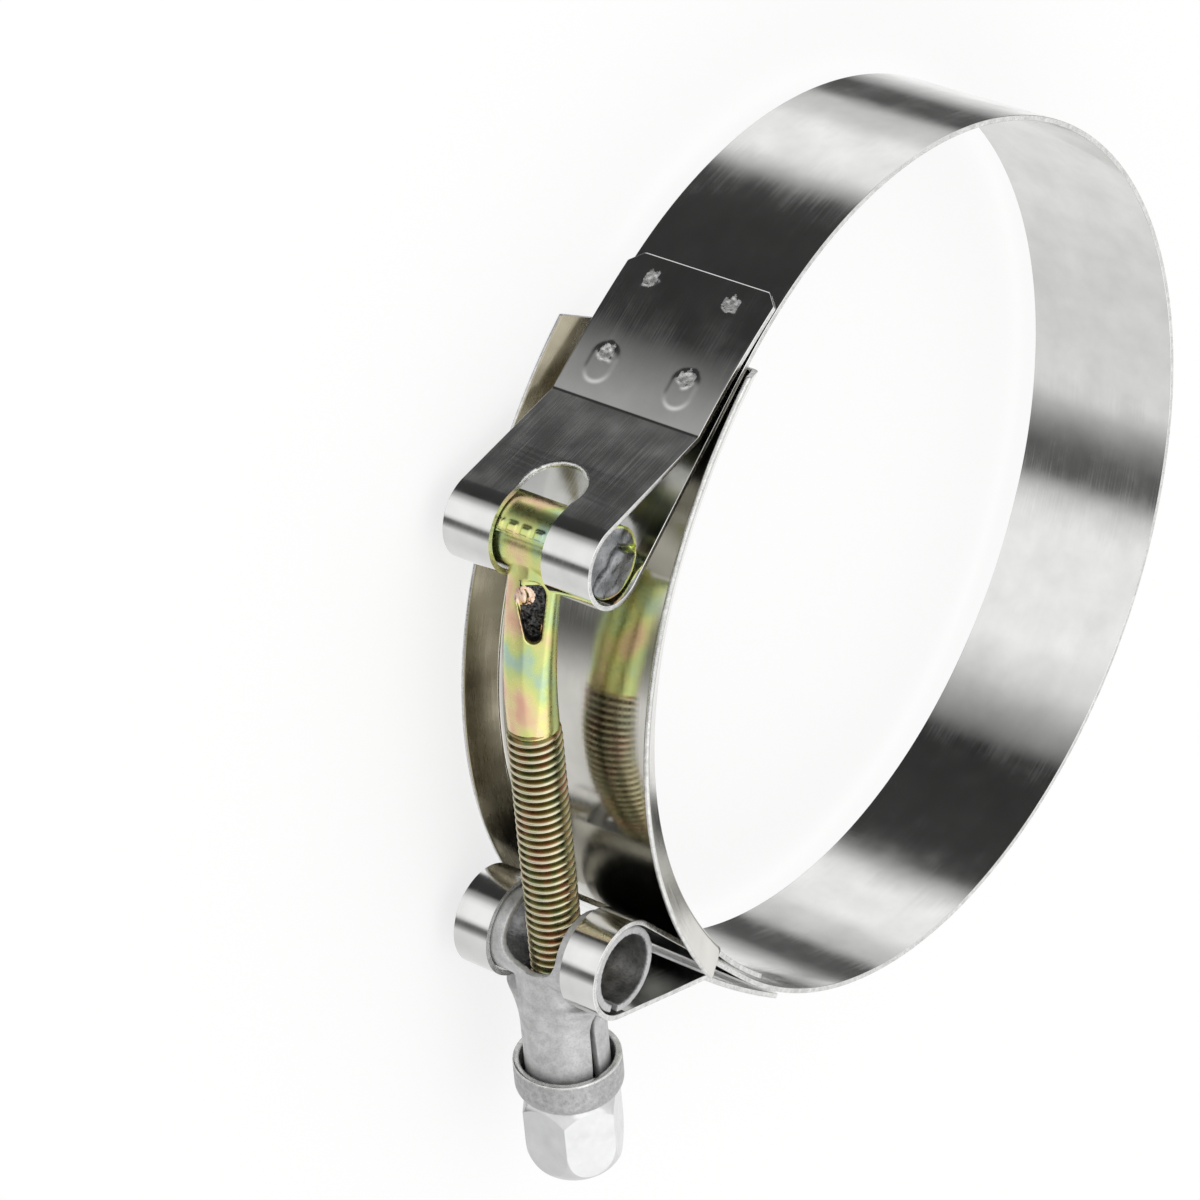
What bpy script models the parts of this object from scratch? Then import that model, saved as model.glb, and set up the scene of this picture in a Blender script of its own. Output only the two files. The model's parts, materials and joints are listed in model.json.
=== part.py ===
"""T-bolt hose clamp, opened to its full size and lying on the edges of its bridge plate and band.

The ring's axis is +Z, and its gap and the two lugs face -Y. Angles round the ring are counted
from -Y towards +X, in degrees. The T-bolt runs from the upper lug on the -X side to the nut on
the +X side. Lengths are in metres, and the origin is under the middle of the clamp.
"""

import math

import bmesh
import bpy
from mathutils import Matrix, Vector

# Band: one stainless strip, with each end folded back outside into a loop and spot-welded.
BAND_WIDTH = 0.0190
BAND_THICKNESS = 0.0006
RING_INNER_RADIUS = 0.0500
LOOP_SPACING = 0.0492
LOOP_STANDOFF = 0.00965
UPPER_LOOP_BORE = 0.0085
LOWER_LOOP_BORE = 0.0101
FOLD_SPREAD = 0.0131
FOLD_RISE = 0.00175
FOLD_BEND_RADIUS = 0.0012
PLATE_LENGTH = 0.0175
PLATE_CORNER_CUT = 0.0016
PLATE_GAP = 0.00015
UPPER_SLOT_TOP = 0.0090
LOWER_SLOT_TOP = 0.0048
SLOT_END_ANGLE = 38.0
SLOT_CLEARANCE = 0.0003
RING_STEP = 2.5
LOOP_STEP = 10.0

# Spot welds between each folded end and the strip under it, and the pressed ovals beside two.
WELD_RADIUS = 0.0013
WELD_SPREAD = 0.0104
WELD_FROM_END = 0.0028
SECOND_WELD_FROM_END = 0.0122
OVAL_LENGTH = 0.0058
OVAL_WIDTH = 0.0034
OVAL_HEIGHT = 0.00040
OVAL_FROM_WELD = 0.0012

# Bridge plate: a bent channel that closes the gap inside the ring, its lips turned outwards.
BRIDGE_THICKNESS = 0.0006
BRIDGE_GAP = 0.0003
BRIDGE_OVERLAP = 0.0050
LIP_OVERLAP = 0.0012
TONGUE_MARGIN = 0.0006
LIP_SIDE_GAP = 0.0003
LIP_BEND_RADIUS = 0.0007
LIP_LEAN = 22.0
LIP_HEIGHT = 0.0038

# T-bolt: M6 with a rolled barrel for a head, its shank cranked outwards clear of the ring.
THREAD_RADIUS = 0.00295
SHANK_RADIUS = 0.00272
SHANK_HALF_WIDTH = 0.00310
SHANK_HALF_DEPTH = 0.00225
BOLT_OFFSET = 0.0045
CRANK_LENGTH = 0.0190
THREAD_START = 0.0203
BOLT_POINT_CHAMFER = 0.0007
BARREL_CLEARANCE = 0.0002
BARREL_RECESS = 0.0003
ROLL_STEP = 0.0005
ROLL_ANGLE = -118.0
NOTCH_START = 0.0027
NOTCH_LENGTH = 0.0068
NOTCH_WIDTH = 0.0033
NOTCH_TIP_WIDTH = 0.0018
NOTCH_DEPTH = 0.0019
NOTCH_TURN = 35.0

# Trunnion: one folded sheet, rolled into a cross barrel and a neck that the bolt runs through.
TRUNNION_WALL = 0.0009
TRUNNION_CLEARANCE = 0.0002
TRUNNION_RECESS = 0.0002
NECK_BORE_RADIUS = 0.00380
NECK_LENGTH = 0.0186
SEAM_WIDTH = 0.0005
SEAM_SHIFT = 0.0007
ROLL_GAP_WIDTH = 0.0012
ROLL_GAP_ANGLE = -30.0
SADDLE_CLEARANCE = 0.00065
SADDLE_BOTTOM = 0.0016

# Cup washer, lock nut and its nylon ring.
CUP_WALL = 0.0008
CUP_DEPTH = 0.0044
CUP_CLEARANCE = 0.0005
CUP_BEND_RADIUS = 0.0013
SEAT_GAP = 0.0004
NUT_FLATS = 0.0100
NUT_HEIGHT = 0.0099
NUT_DOME_START = 0.0054
NUT_END_RADIUS = 0.0040
NUT_SEAT_RADIUS = 0.0046
NUT_CHAMFER = 0.0016
NUT_SEAT_GAP = 0.0001
NUT_TURN = 30.0
RUNNING_CLEARANCE = 0.00015
NYLON_HEIGHT = 0.0022
NYLON_RADIUS = 0.0040
NYLON_CLEARANCE = 0.0001
NYLON_LIP = 0.0005
ROUND_SIDES = 32

# Sizes that follow from the ones above.
BAND_MIDDLE_RADIUS = RING_INNER_RADIUS + BAND_THICKNESS / 2
RING_OUTER_RADIUS = RING_INNER_RADIUS + BAND_THICKNESS
PLATE_LIFT = BAND_THICKNESS + PLATE_GAP
PLATE_RADIUS = BAND_MIDDLE_RADIUS + PLATE_LIFT
FOLD_REACH = PLATE_RADIUS + FOLD_RISE
LOOP_REACH = RING_OUTER_RADIUS + LOOP_STANDOFF
LOOP_ANGLE = math.asin(LOOP_SPACING / 2 / LOOP_REACH)
LOOP_DISTANCE = LOOP_REACH * math.cos(LOOP_ANGLE)
FOLD_ANGLE = math.degrees(LOOP_ANGLE + FOLD_SPREAD / PLATE_RADIUS)
PLATE_END_ANGLE = FOLD_ANGLE + math.degrees(PLATE_LENGTH / PLATE_RADIUS)
LIFT_ANGLE = FOLD_ANGLE + math.degrees(math.acos(PLATE_RADIUS / FOLD_REACH))
BARREL_RADIUS = UPPER_LOOP_BORE / 2 - BARREL_CLEARANCE
TRUNNION_RADIUS = LOWER_LOOP_BORE / 2 - TRUNNION_CLEARANCE
NECK_RADIUS = NECK_BORE_RADIUS + TRUNNION_WALL
BOLT_TILT = math.asin(BOLT_OFFSET / LOOP_SPACING)
BOLT_REACH = LOOP_SPACING * math.cos(BOLT_TILT)
CUP_FLOOR = NECK_LENGTH + SEAT_GAP + CUP_WALL
NUT_SEAT = CUP_FLOOR + NUT_SEAT_GAP
BOLT_LENGTH = BOLT_REACH + NUT_SEAT + NUT_HEIGHT - NYLON_LIP
BRIDGE_OUTER_RADIUS = RING_INNER_RADIUS - BRIDGE_GAP
UPPER_SLOT_WIDTH = 2 * (SHANK_HALF_WIDTH + SLOT_CLEARANCE)
LOWER_SLOT_WIDTH = 2 * (NECK_RADIUS + SLOT_CLEARANCE)


def polar(radius, degrees):
    """A point of the ring's plane, its angle counted from -Y towards +X."""
    turn = math.radians(degrees)
    return Vector((radius * math.sin(turn), -radius * math.cos(turn)))


def turned(vector, angle):
    """A plane vector turned counter-clockwise by an angle in radians."""
    return Matrix.Rotation(angle, 2) @ vector


def arc(centre, radius, start, end, step):
    """Points on an arc from start to end, plain angles in degrees, with steps of about step."""
    count = max(2, math.ceil(abs(end - start) / step))
    angles = (math.radians(start + (end - start) * i / count) for i in range(count + 1))
    return [centre + radius * Vector((math.cos(a), math.sin(a))) for a in angles]


def rounded_corner(before, corner, after, radius):
    """The corner of a line replaced by an arc that is tangent to both of its sides."""
    arrive = (corner - before).normalized()
    leave = (after - corner).normalized()
    bend = arrive.angle_signed(leave)
    reach = radius * math.tan(abs(bend) / 2)
    side = math.copysign(1.0, bend)
    centre = corner - arrive * reach + turned(arrive, -side * math.pi / 2) * radius
    spoke = corner - arrive * reach - centre
    steps = 4
    return [centre + turned(spoke, -bend * i / steps) for i in range(steps + 1)]


class Lug:
    """One folded end of the band, worked out on the +X side and mirrored for the -X side."""

    def __init__(self, side, bore, slot_top, slot_width):
        self.side = side
        self.radius = bore / 2 + BAND_THICKNESS / 2
        self.slot_width = slot_width
        self.slot_arch = slot_top + slot_width / 2
        self.loop = Vector((LOOP_SPACING / 2, -LOOP_DISTANCE))
        lean = math.acos((BAND_MIDDLE_RADIUS + self.radius) / LOOP_REACH)
        self.leave_angle = math.degrees(LOOP_ANGLE + lean)
        self.outward = polar(1.0, self.leave_angle)
        self.leave = self.outward * BAND_MIDDLE_RADIUS
        self.inner_touch = self.loop - self.outward * self.radius
        self.along = (self.inner_touch - self.leave).normalized()
        self.fold = polar(FOLD_REACH, FOLD_ANGLE)
        to_loop = self.loop - self.fold
        lean = math.asin(self.radius / to_loop.length)
        self.leg = turned(to_loop.normalized(), lean)
        self.leg_length = to_loop.length * math.cos(lean)
        self.outer_touch = self.fold + self.leg * self.leg_length

    def mirrored(self, point):
        """A point worked out on the +X side, brought to this lug's own side."""
        return Vector((point.x * self.side, point.y))

    def plate_point(self, from_end):
        """A point on the folded plate's middle line and its outward direction."""
        round_length = math.radians(PLATE_END_ANGLE - LIFT_ANGLE) * PLATE_RADIUS
        if from_end < round_length:
            outward = polar(1.0, PLATE_END_ANGLE - math.degrees(from_end / PLATE_RADIUS))
            return outward * PLATE_RADIUS, outward
        outward = polar(1.0, LIFT_ANGLE)
        lifted = outward * PLATE_RADIUS
        towards_fold = (self.fold - lifted).normalized()
        return lifted + towards_fold * (from_end - round_length), outward

    def foot_on_strip(self, point):
        """The point of the strip's middle line that lies straight under a plate point."""
        if math.degrees(math.atan2(point.x, -point.y)) > self.leave_angle:
            return point.normalized() * BAND_MIDDLE_RADIUS
        return point - self.outward * (point - self.leave).dot(self.outward)

    def middle_line(self):
        """The strip's middle line from its cut end to where it joins the ring."""
        points = arc(Vector((0, 0)), PLATE_RADIUS, PLATE_END_ANGLE - 90.0,
                     LIFT_ANGLE - 90.0, RING_STEP)
        points += rounded_corner(points[-1], self.fold, self.outer_touch, FOLD_BEND_RADIUS)
        start = math.degrees(math.atan2(*reversed(self.outer_touch - self.loop)))
        end = math.degrees(math.atan2(*reversed(self.inner_touch - self.loop))) - 360.0
        points += arc(self.loop, self.radius, start, end, LOOP_STEP)
        points.append(self.leave)
        return [self.mirrored(p) for p in points]

    def slot_outline(self):
        """The part of the loop's plane that its slot takes away, the arched end apart."""
        far = self.radius + 3 * BAND_THICKNESS
        inside = self.radius - 2 * BAND_THICKNESS
        wall = turned(self.leg, math.pi / 2)
        arch = self.fold + self.leg * self.slot_arch
        reach = far - self.radius
        leg_angle = math.degrees(math.atan2(wall.y, wall.x))
        end_angle = -180.0 - SLOT_END_ANGLE
        outer = arc(self.loop, far, leg_angle, end_angle, 2 * LOOP_STEP)
        inner = arc(self.loop, inside, end_angle, leg_angle, 2 * LOOP_STEP)
        outline = [arch + wall * reach] + outer + inner + [arch - wall * reach]
        return [self.mirrored(p) for p in outline], self.mirrored(arch), self.mirrored(wall)


UPPER_LUG = Lug(-1, UPPER_LOOP_BORE, UPPER_SLOT_TOP, UPPER_SLOT_WIDTH)
LOWER_LUG = Lug(1, LOWER_LOOP_BORE, LOWER_SLOT_TOP, LOWER_SLOT_WIDTH)


def new_material(name, colour, roughness, metallic):
    """A plain Principled material."""
    material = bpy.data.materials.new(name)
    material.use_nodes = True
    shader = material.node_tree.nodes["Principled BSDF"]
    shader.inputs["Base Color"].default_value = (*colour, 1.0)
    shader.inputs["Roughness"].default_value = roughness
    shader.inputs["Metallic"].default_value = metallic
    return material


def new_object(name, build, material=None):
    """A mesh object whose mesh is made by build(bm)."""
    bm = bmesh.new()
    build(bm)
    bmesh.ops.recalc_face_normals(bm, faces=bm.faces)
    mesh = bpy.data.meshes.new(name)
    bm.to_mesh(mesh)
    bm.free()
    mesh.shade_smooth()
    mesh.set_sharp_from_angle(angle=math.radians(32))
    obj = bpy.data.objects.new(name, mesh)
    bpy.context.collection.objects.link(obj)
    if material:
        mesh.materials.append(material)
    return obj


def loft(bm, rings):
    """Faces between rings of points with the same count, capped at both ends."""
    rows = [[bm.verts.new(p) for p in ring] for ring in rings]
    for low, high in zip(rows, rows[1:]):
        for i in range(len(low)):
            j = (i + 1) % len(low)
            bm.faces.new((low[i], low[j], high[j], high[i]))
    bm.faces.new(rows[0])
    bm.faces.new(rows[-1])


def prism(bm, outline, half_width):
    """A plane outline pulled out to both sides along Z."""
    base = [bm.verts.new((p.x, p.y, -half_width)) for p in outline]
    face = bm.faces.new(base)
    pulled = bmesh.ops.extrude_face_region(bm, geom=[face])["geom"]
    top = [item for item in pulled if isinstance(item, bmesh.types.BMVert)]
    bmesh.ops.translate(bm, verts=top, vec=(0, 0, 2 * half_width))


def turned_solid(bm, profile, sides=ROUND_SIDES):
    """A closed (x, radius) outline turned round the X axis."""
    rows = []
    for i in range(sides):
        turn = 2 * math.pi * i / sides
        rows.append([bm.verts.new((x, r * math.cos(turn), r * math.sin(turn))) for x, r in profile])
    for row, after in zip(rows, rows[1:] + rows[:1]):
        for i in range(len(profile)):
            j = (i + 1) % len(profile)
            bm.faces.new((row[i], row[j], after[j], after[i]))


def rod(bm, start, end, radius, sides=ROUND_SIDES):
    """A plain round bar between two points."""
    axis = Vector(end) - Vector(start)
    place = Matrix.Translation((Vector(start) + Vector(end)) / 2)
    place = place @ axis.to_track_quat("Z", "X").to_matrix().to_4x4()
    bmesh.ops.create_cone(bm, cap_ends=True, segments=sides, radius1=radius, radius2=radius,
                          depth=axis.length, matrix=place)


def combine(obj, tool, operation):
    """Add a Boolean step to obj, with its tool hidden from the finished model."""
    step = obj.modifiers.new(tool.name, "BOOLEAN")
    step.operation = operation
    step.object = tool
    step.solver = "EXACT"
    tool.hide_render = True
    tool.display_type = "WIRE"
    tool.parent = obj.parent
    tool.matrix_parent_inverse = obj.matrix_parent_inverse


def strip_rings(points, half_widths):
    """Four-cornered sections of a strip that follows a plane line."""
    rings = []
    for i, point in enumerate(points):
        before = points[max(i - 1, 0)]
        after = points[min(i + 1, len(points) - 1)]
        arrive = (point - before) if i else (after - point)
        leave = (after - point) if i < len(points) - 1 else arrive
        normal = turned((arrive.normalized() + leave.normalized()).normalized(), math.pi / 2)
        half_bend = arrive.angle(leave) / 2
        side = normal * (BAND_THICKNESS / 2 / math.cos(half_bend))
        low, high = point - side, point + side
        half = half_widths[i]
        rings.append([(low.x, low.y, -half), (low.x, low.y, half),
                      (high.x, high.y, half), (high.x, high.y, -half)])
    return rings


def strip_line():
    """The band's middle line and its half width at each point, corners clipped at both ends."""
    lower = LOWER_LUG.middle_line()
    upper = UPPER_LUG.middle_line()
    ring = arc(Vector((0, 0)), BAND_MIDDLE_RADIUS, LOWER_LUG.leave_angle - 90.0,
               270.0 - UPPER_LUG.leave_angle, RING_STEP)
    points = lower[:-1] + ring + upper[-2::-1]
    for end, neighbour in ((0, 1), (-1, -2)):
        step = (points[neighbour] - points[end]).normalized() * PLATE_CORNER_CUT
        points.insert(1 if end == 0 else len(points) - 1, points[end] + step)
    half = BAND_WIDTH / 2
    widths = [half - PLATE_CORNER_CUT] + [half] * (len(points) - 2) + [half - PLATE_CORNER_CUT]
    return points, widths


def add_welds(lug, name, band, with_ovals):
    """Weld nuggets through a folded plate and the strip, and the pressed ovals beside two."""
    for row, from_end in (("outer", WELD_FROM_END), ("inner", SECOND_WELD_FROM_END)):
        point, _ = lug.plate_point(from_end)
        top = lug.mirrored(point)
        foot = lug.mirrored(lug.foot_on_strip(point))
        for place, z in (("near", WELD_SPREAD / 2), ("far", -WELD_SPREAD / 2)):
            nugget = new_object(f"{name}_{row}_weld_{place}",
                                lambda bm: rod(bm, (*foot, z), (*top, z), WELD_RADIUS, 12))
            combine(band, nugget, "UNION")
            if row == "inner" and with_ovals:
                add_oval(lug, f"{name}_oval_{place}", band, z)


def add_oval(lug, name, band, z):
    """A low oval that is pressed up out of the folded plate."""
    point, outward = lug.plate_point(SECOND_WELD_FROM_END + OVAL_FROM_WELD)
    point, outward = lug.mirrored(point), lug.mirrored(outward)
    along = turned(outward, math.pi / 2)
    half_straight = (OVAL_LENGTH - OVAL_WIDTH) / 2
    rings = []
    for height, shrink in ((-0.25, 0.0), (0.5, 0.0), (0.86, 0.5), (1.0, 1.2)):
        radius = OVAL_WIDTH / 2 - OVAL_HEIGHT * shrink
        base = point + outward * (BAND_THICKNESS / 2 + OVAL_HEIGHT * height)
        ring = []
        for end in (1, -1):
            for i in range(7):
                turn = math.pi * i / 6
                place = base + along * end * (half_straight + radius * math.sin(turn))
                ring.append((place.x, place.y, z + end * radius * math.cos(turn)))
        rings.append(ring)
    oval = new_object(name, lambda bm: loft(bm, rings))
    combine(band, oval, "UNION")


def cut_slot(lug, name, band):
    """The slot in a loop, with a round end on its outer leg."""
    width = lug.slot_width
    outline, arch, wall = lug.slot_outline()
    slot = new_object(f"{name}_slot", lambda bm: prism(bm, outline, width / 2))
    combine(band, slot, "DIFFERENCE")
    reach = wall * (3 * BAND_THICKNESS)
    end = new_object(f"{name}_slot_end",
                     lambda bm: rod(bm, (*(arch - reach), 0), (*(arch + reach), 0), width / 2, 24))
    combine(band, end, "DIFFERENCE")


def build_band(root):
    """The whole strip: ring, two loops and the two plates that are folded back outside."""
    steel = new_material("polished_stainless", (0.62, 0.62, 0.61), 0.14, 1.0)
    points, widths = strip_line()
    band = new_object("band", lambda bm: loft(bm, strip_rings(points, widths)), steel)
    band.parent = root
    add_welds(UPPER_LUG, "upper", band, True)
    add_welds(LOWER_LUG, "lower", band, False)
    cut_slot(UPPER_LUG, "upper", band)
    cut_slot(LOWER_LUG, "lower", band)
    return band


def bridge_section():
    """The channel's outline as (z, radius) pairs: floor, bends and leaning lips."""
    outer, inner = [], []
    side = BAND_WIDTH / 2 + LIP_SIDE_GAP
    bend_middle = Vector((side, BRIDGE_OUTER_RADIUS + LIP_BEND_RADIUS))
    sweep = 90.0 - LIP_LEAN
    for bend in arc(Vector((0, 0)), 1.0, -90.0, sweep - 90.0, 16.0):
        outer.append(bend_middle + bend * (LIP_BEND_RADIUS + BRIDGE_THICKNESS))
        inner.append(bend_middle + bend * LIP_BEND_RADIUS)
    lip = Vector((math.sin(math.radians(LIP_LEAN)), math.cos(math.radians(LIP_LEAN))))
    outer.append(outer[-1] + lip * LIP_HEIGHT)
    inner.append(inner[-1] + lip * LIP_HEIGHT)
    half = outer + inner[::-1]
    count = len(outer)
    mirror = [Vector((-p.x, p.y)) for p in half]
    return outer[::-1] + mirror[:count] + mirror[count:] + inner


def around_ring(bm, section, start, end):
    """A closed (z, radius) section carried round the ring's axis from one angle to another."""
    count = max(2, math.ceil((end - start) / RING_STEP))
    angles = [start + (end - start) * i / count for i in range(count + 1)]
    loft(bm, [[(*polar(p.y, angle), p.x) for p in section] for angle in angles])


def build_bridge(root):
    """The plate that bridges the ring's gap: a bent channel whose floor runs on as a tongue."""
    steel = new_material("rolled_stainless", (0.58, 0.58, 0.57), 0.2, 1.0)
    overlap = math.degrees(BRIDGE_OVERLAP / BRIDGE_OUTER_RADIUS)
    lip_overlap = math.degrees(LIP_OVERLAP / BRIDGE_OUTER_RADIUS)
    ends = (-UPPER_LUG.leave_angle - overlap, LOWER_LUG.leave_angle + overlap)
    lip_ends = (-UPPER_LUG.leave_angle - lip_overlap, FOLD_ANGLE)
    section = bridge_section()
    bridge = new_object("bridge_plate", lambda bm: around_ring(bm, section, *ends), steel)
    bridge.parent = root
    inner = BRIDGE_OUTER_RADIUS - 2 * BRIDGE_THICKNESS
    outer = max(p.y for p in section) + BRIDGE_THICKNESS
    low = BAND_WIDTH / 2 - TONGUE_MARGIN
    high = max(p.x for p in section) + BRIDGE_THICKNESS
    for name, start, end in (("upper", ends[0] - lip_overlap, lip_ends[0]),
                             ("lower", lip_ends[1], ends[1] + lip_overlap)):
        for place, side in (("near", 1), ("far", -1)):
            block = [Vector((side * z, r)) for z, r in
                     ((low, inner), (high, inner), (high, outer), (low, outer))]
            cut = new_object(f"{name}_lip_end_{place}",
                             lambda bm: around_ring(bm, block, start, end))
            combine(bridge, cut, "DIFFERENCE")
    return bridge


def crank(x):
    """How far the shank's middle line lies outside the barrel's axis, at x along the bolt."""
    share = min(max(x / CRANK_LENGTH, 0.0), 1.0)
    eased = math.sin(share * math.pi / 2)
    return -BOLT_OFFSET * (0.22 + 0.78 * eased)


def oval_ring(x, y, half_depth, half_width, sides=ROUND_SIDES):
    """An elliptic section of the shank, square to X."""
    turns = (2 * math.pi * i / sides for i in range(sides))
    return [(x, y + half_depth * math.cos(t), half_width * math.sin(t)) for t in turns]


def bolt_rings():
    """Sections of the shank from inside the barrel, round the crank, to the thread's point."""
    rings = []
    stations = 9
    shank_end = THREAD_START - BOLT_POINT_CHAMFER
    for i in range(stations):
        x = shank_end * i / (stations - 1)
        flat = 1.0 - min(max((x - NOTCH_START) / (shank_end - NOTCH_START), 0.0), 1.0)
        depth = SHANK_RADIUS + (SHANK_HALF_DEPTH - SHANK_RADIUS) * flat
        width = SHANK_RADIUS + (SHANK_HALF_WIDTH - SHANK_RADIUS) * math.sqrt(flat)
        rings.append(oval_ring(x, crank(x), depth, width))
    point_radius = THREAD_RADIUS - BOLT_POINT_CHAMFER
    for x, radius in ((THREAD_START, THREAD_RADIUS),
                      (BOLT_LENGTH - BOLT_POINT_CHAMFER, THREAD_RADIUS),
                      (BOLT_LENGTH, point_radius)):
        rings.append(oval_ring(x, -BOLT_OFFSET, radius, radius))
    return rings


def rolled_outline(radius, sides=ROUND_SIDES):
    """A round outline that closes on itself with a small step, as rolled plate does."""
    outline = []
    for i in range(sides):
        share = i / (sides - 1)
        turn = math.radians(ROLL_ANGLE) + 2 * math.pi * share * (1 - 1 / (4 * sides))
        size = radius - ROLL_STEP * (1 - share) ** 3
        outline.append(Vector((size * math.cos(turn), size * math.sin(turn))))
    return outline


def notch_outline():
    """The long tapered mark in the shank's front, as seen square to it."""
    wide, narrow = NOTCH_WIDTH / 2, NOTCH_TIP_WIDTH / 2
    length = NOTCH_LENGTH - wide - narrow
    top = arc(Vector((NOTCH_START + wide, 0)), wide, 90.0, 270.0, 30.0)
    tip = arc(Vector((NOTCH_START + wide + length, 0)), narrow, -90.0, 90.0, 30.0)
    return top + tip


def build_t_bolt(root):
    """Barrel head, cranked shank and threaded end, one forging, turning on the barrel's axis."""
    zinc = new_material("yellow_zinc", (0.72, 0.62, 0.32), 0.3, 1.0)
    bolt = new_object("t_bolt", lambda bm: loft(bm, bolt_rings()), zinc)
    bolt.parent = bolt_pivot(root)
    half_barrel = BAND_WIDTH / 2 - BARREL_RECESS
    barrel = new_object("rolled_barrel",
                        lambda bm: prism(bm, rolled_outline(BARREL_RADIUS), half_barrel))
    combine(bolt, barrel, "UNION")
    notch = new_object("shank_notch", lambda bm: prism(bm, notch_outline(), NOTCH_DEPTH))
    combine(bolt, notch, "DIFFERENCE")
    notch.matrix_local = (Matrix.Translation((0, crank(NOTCH_START + NOTCH_LENGTH / 2), 0))
                          @ Matrix.Rotation(math.radians(90.0 - NOTCH_TURN), 4, "X")
                          @ Matrix.Translation((0, 0, SHANK_HALF_WIDTH)))
    return bolt


def bolt_pivot(root):
    """An empty on the upper loop's axis, its X along the bolt."""
    return pivot(root, "bolt_pivot", Vector((-LOOP_SPACING / 2, -LOOP_DISTANCE)), BOLT_TILT)


def pivot(root, name, place, angle):
    """An empty on a joint's axis, turned about Z."""
    empty = bpy.data.objects.new(name, None)
    bpy.context.collection.objects.link(empty)
    empty.parent = root
    empty.location = (place.x, place.y, 0)
    empty.rotation_euler = (0, 0, angle)
    return empty


def build_trunnion(root):
    """The sheet cross-piece that sits in the lower loop and guides the bolt."""
    zinc = new_material("satin_zinc", (0.66, 0.67, 0.68), 0.38, 1.0)
    past = 3 * TRUNNION_WALL
    trunnion = new_object(
        "trunnion", lambda bm: rod(bm, (0, 0, 0), (NECK_LENGTH, 0, 0), NECK_RADIUS), zinc)
    trunnion.parent = pivot(root, "trunnion_pivot",
                            Vector((LOOP_SPACING / 2, -LOOP_DISTANCE)), BOLT_TILT)
    half_barrel = BAND_WIDTH / 2 - TRUNNION_RECESS
    barrel = new_object("cross_barrel", lambda bm: rod(
        bm, (0, 0, -half_barrel), (0, 0, half_barrel), TRUNNION_RADIUS))
    combine(trunnion, barrel, "UNION")
    neck_bore = new_object("neck_bore", lambda bm: rod(
        bm, (0, 0, 0), (NECK_LENGTH + past, 0, 0), NECK_BORE_RADIUS))
    combine(trunnion, neck_bore, "DIFFERENCE")
    barrel_bore = new_object("barrel_bore", lambda bm: rod(
        bm, (0, 0, -BAND_WIDTH), (0, 0, BAND_WIDTH), TRUNNION_RADIUS - TRUNNION_WALL))
    combine(trunnion, barrel_bore, "DIFFERENCE")
    cut_saddle(trunnion, past)
    cut_seams(trunnion, past)
    return trunnion


def cut_saddle(trunnion, past):
    """The U-shaped mouth where the bolt enters the trunnion."""
    half = THREAD_RADIUS + SADDLE_CLEARANCE
    bottom = Vector((SADDLE_BOTTOM - half, 0))
    outline = arc(bottom, half, -90.0, 90.0, 15.0)
    outline += [Vector((-TRUNNION_RADIUS - past, half)), Vector((-TRUNNION_RADIUS - past, -half))]
    saddle = new_object("saddle", lambda bm: prism(bm, outline, TRUNNION_RADIUS + past))
    combine(trunnion, saddle, "DIFFERENCE")
    saddle.matrix_local = Matrix.Rotation(math.pi / 2, 4, "X")


def cut_seams(trunnion, past):
    """The open seams where the folded sheet's edges meet, on the neck and the barrel ends."""
    length = NECK_LENGTH + past - TRUNNION_RADIUS
    seam = new_object("neck_seam", lambda bm: bmesh.ops.create_cube(
        bm, size=1.0, matrix=Matrix.Diagonal((length, SEAM_WIDTH, 4 * NECK_RADIUS, 1.0))))
    combine(trunnion, seam, "DIFFERENCE")
    seam.location = (TRUNNION_RADIUS + length / 2, -SEAM_SHIFT, 0)
    end_length = BAND_WIDTH / 2 - NECK_RADIUS + past
    across = TRUNNION_WALL + past
    for name, side in (("near", 1), ("far", -1)):
        gap = new_object(f"barrel_gap_{name}", lambda bm: bmesh.ops.create_cube(
            bm, size=1.0, matrix=Matrix.Diagonal((across, ROLL_GAP_WIDTH, end_length, 1.0))))
        combine(trunnion, gap, "DIFFERENCE")
        turn = math.radians(ROLL_GAP_ANGLE)
        middle = TRUNNION_RADIUS - TRUNNION_WALL / 2
        gap.location = (middle * math.cos(turn), middle * math.sin(turn),
                        side * (NECK_RADIUS + end_length / 2))
        gap.rotation_euler = (0, 0, turn)


def on_bolt_axis(obj, root):
    """Hang a turned piece on an empty at the trunnion's axis, along the bolt."""
    obj.parent = pivot(root, f"{obj.name}_axis",
                       Vector((LOOP_SPACING / 2, -LOOP_DISTANCE)), BOLT_TILT)


def build_cup_washer(root):
    """A drawn cup that holds the neck's end and takes the nut's thrust."""
    zinc = new_material("dull_zinc", (0.55, 0.56, 0.57), 0.45, 1.0)
    inner = NECK_RADIUS + CUP_CLEARANCE
    outer = inner + CUP_WALL
    rim = CUP_FLOOR - CUP_DEPTH
    hole = THREAD_RADIUS + RUNNING_CLEARANCE
    bend = Vector((CUP_FLOOR - CUP_BEND_RADIUS, outer - CUP_BEND_RADIUS))
    inner_bend = CUP_BEND_RADIUS - CUP_WALL
    profile = [Vector((rim, inner)), Vector((rim, outer))]
    profile += arc(bend, CUP_BEND_RADIUS, 90.0, 0.0, 18.0)
    profile += [Vector((CUP_FLOOR, hole)), Vector((CUP_FLOOR - CUP_WALL, hole))]
    profile += arc(bend, inner_bend, 0.0, 90.0, 30.0)
    cup = new_object("cup_washer", lambda bm: turned_solid(bm, profile), zinc)
    on_bolt_axis(cup, root)
    return cup


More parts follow.
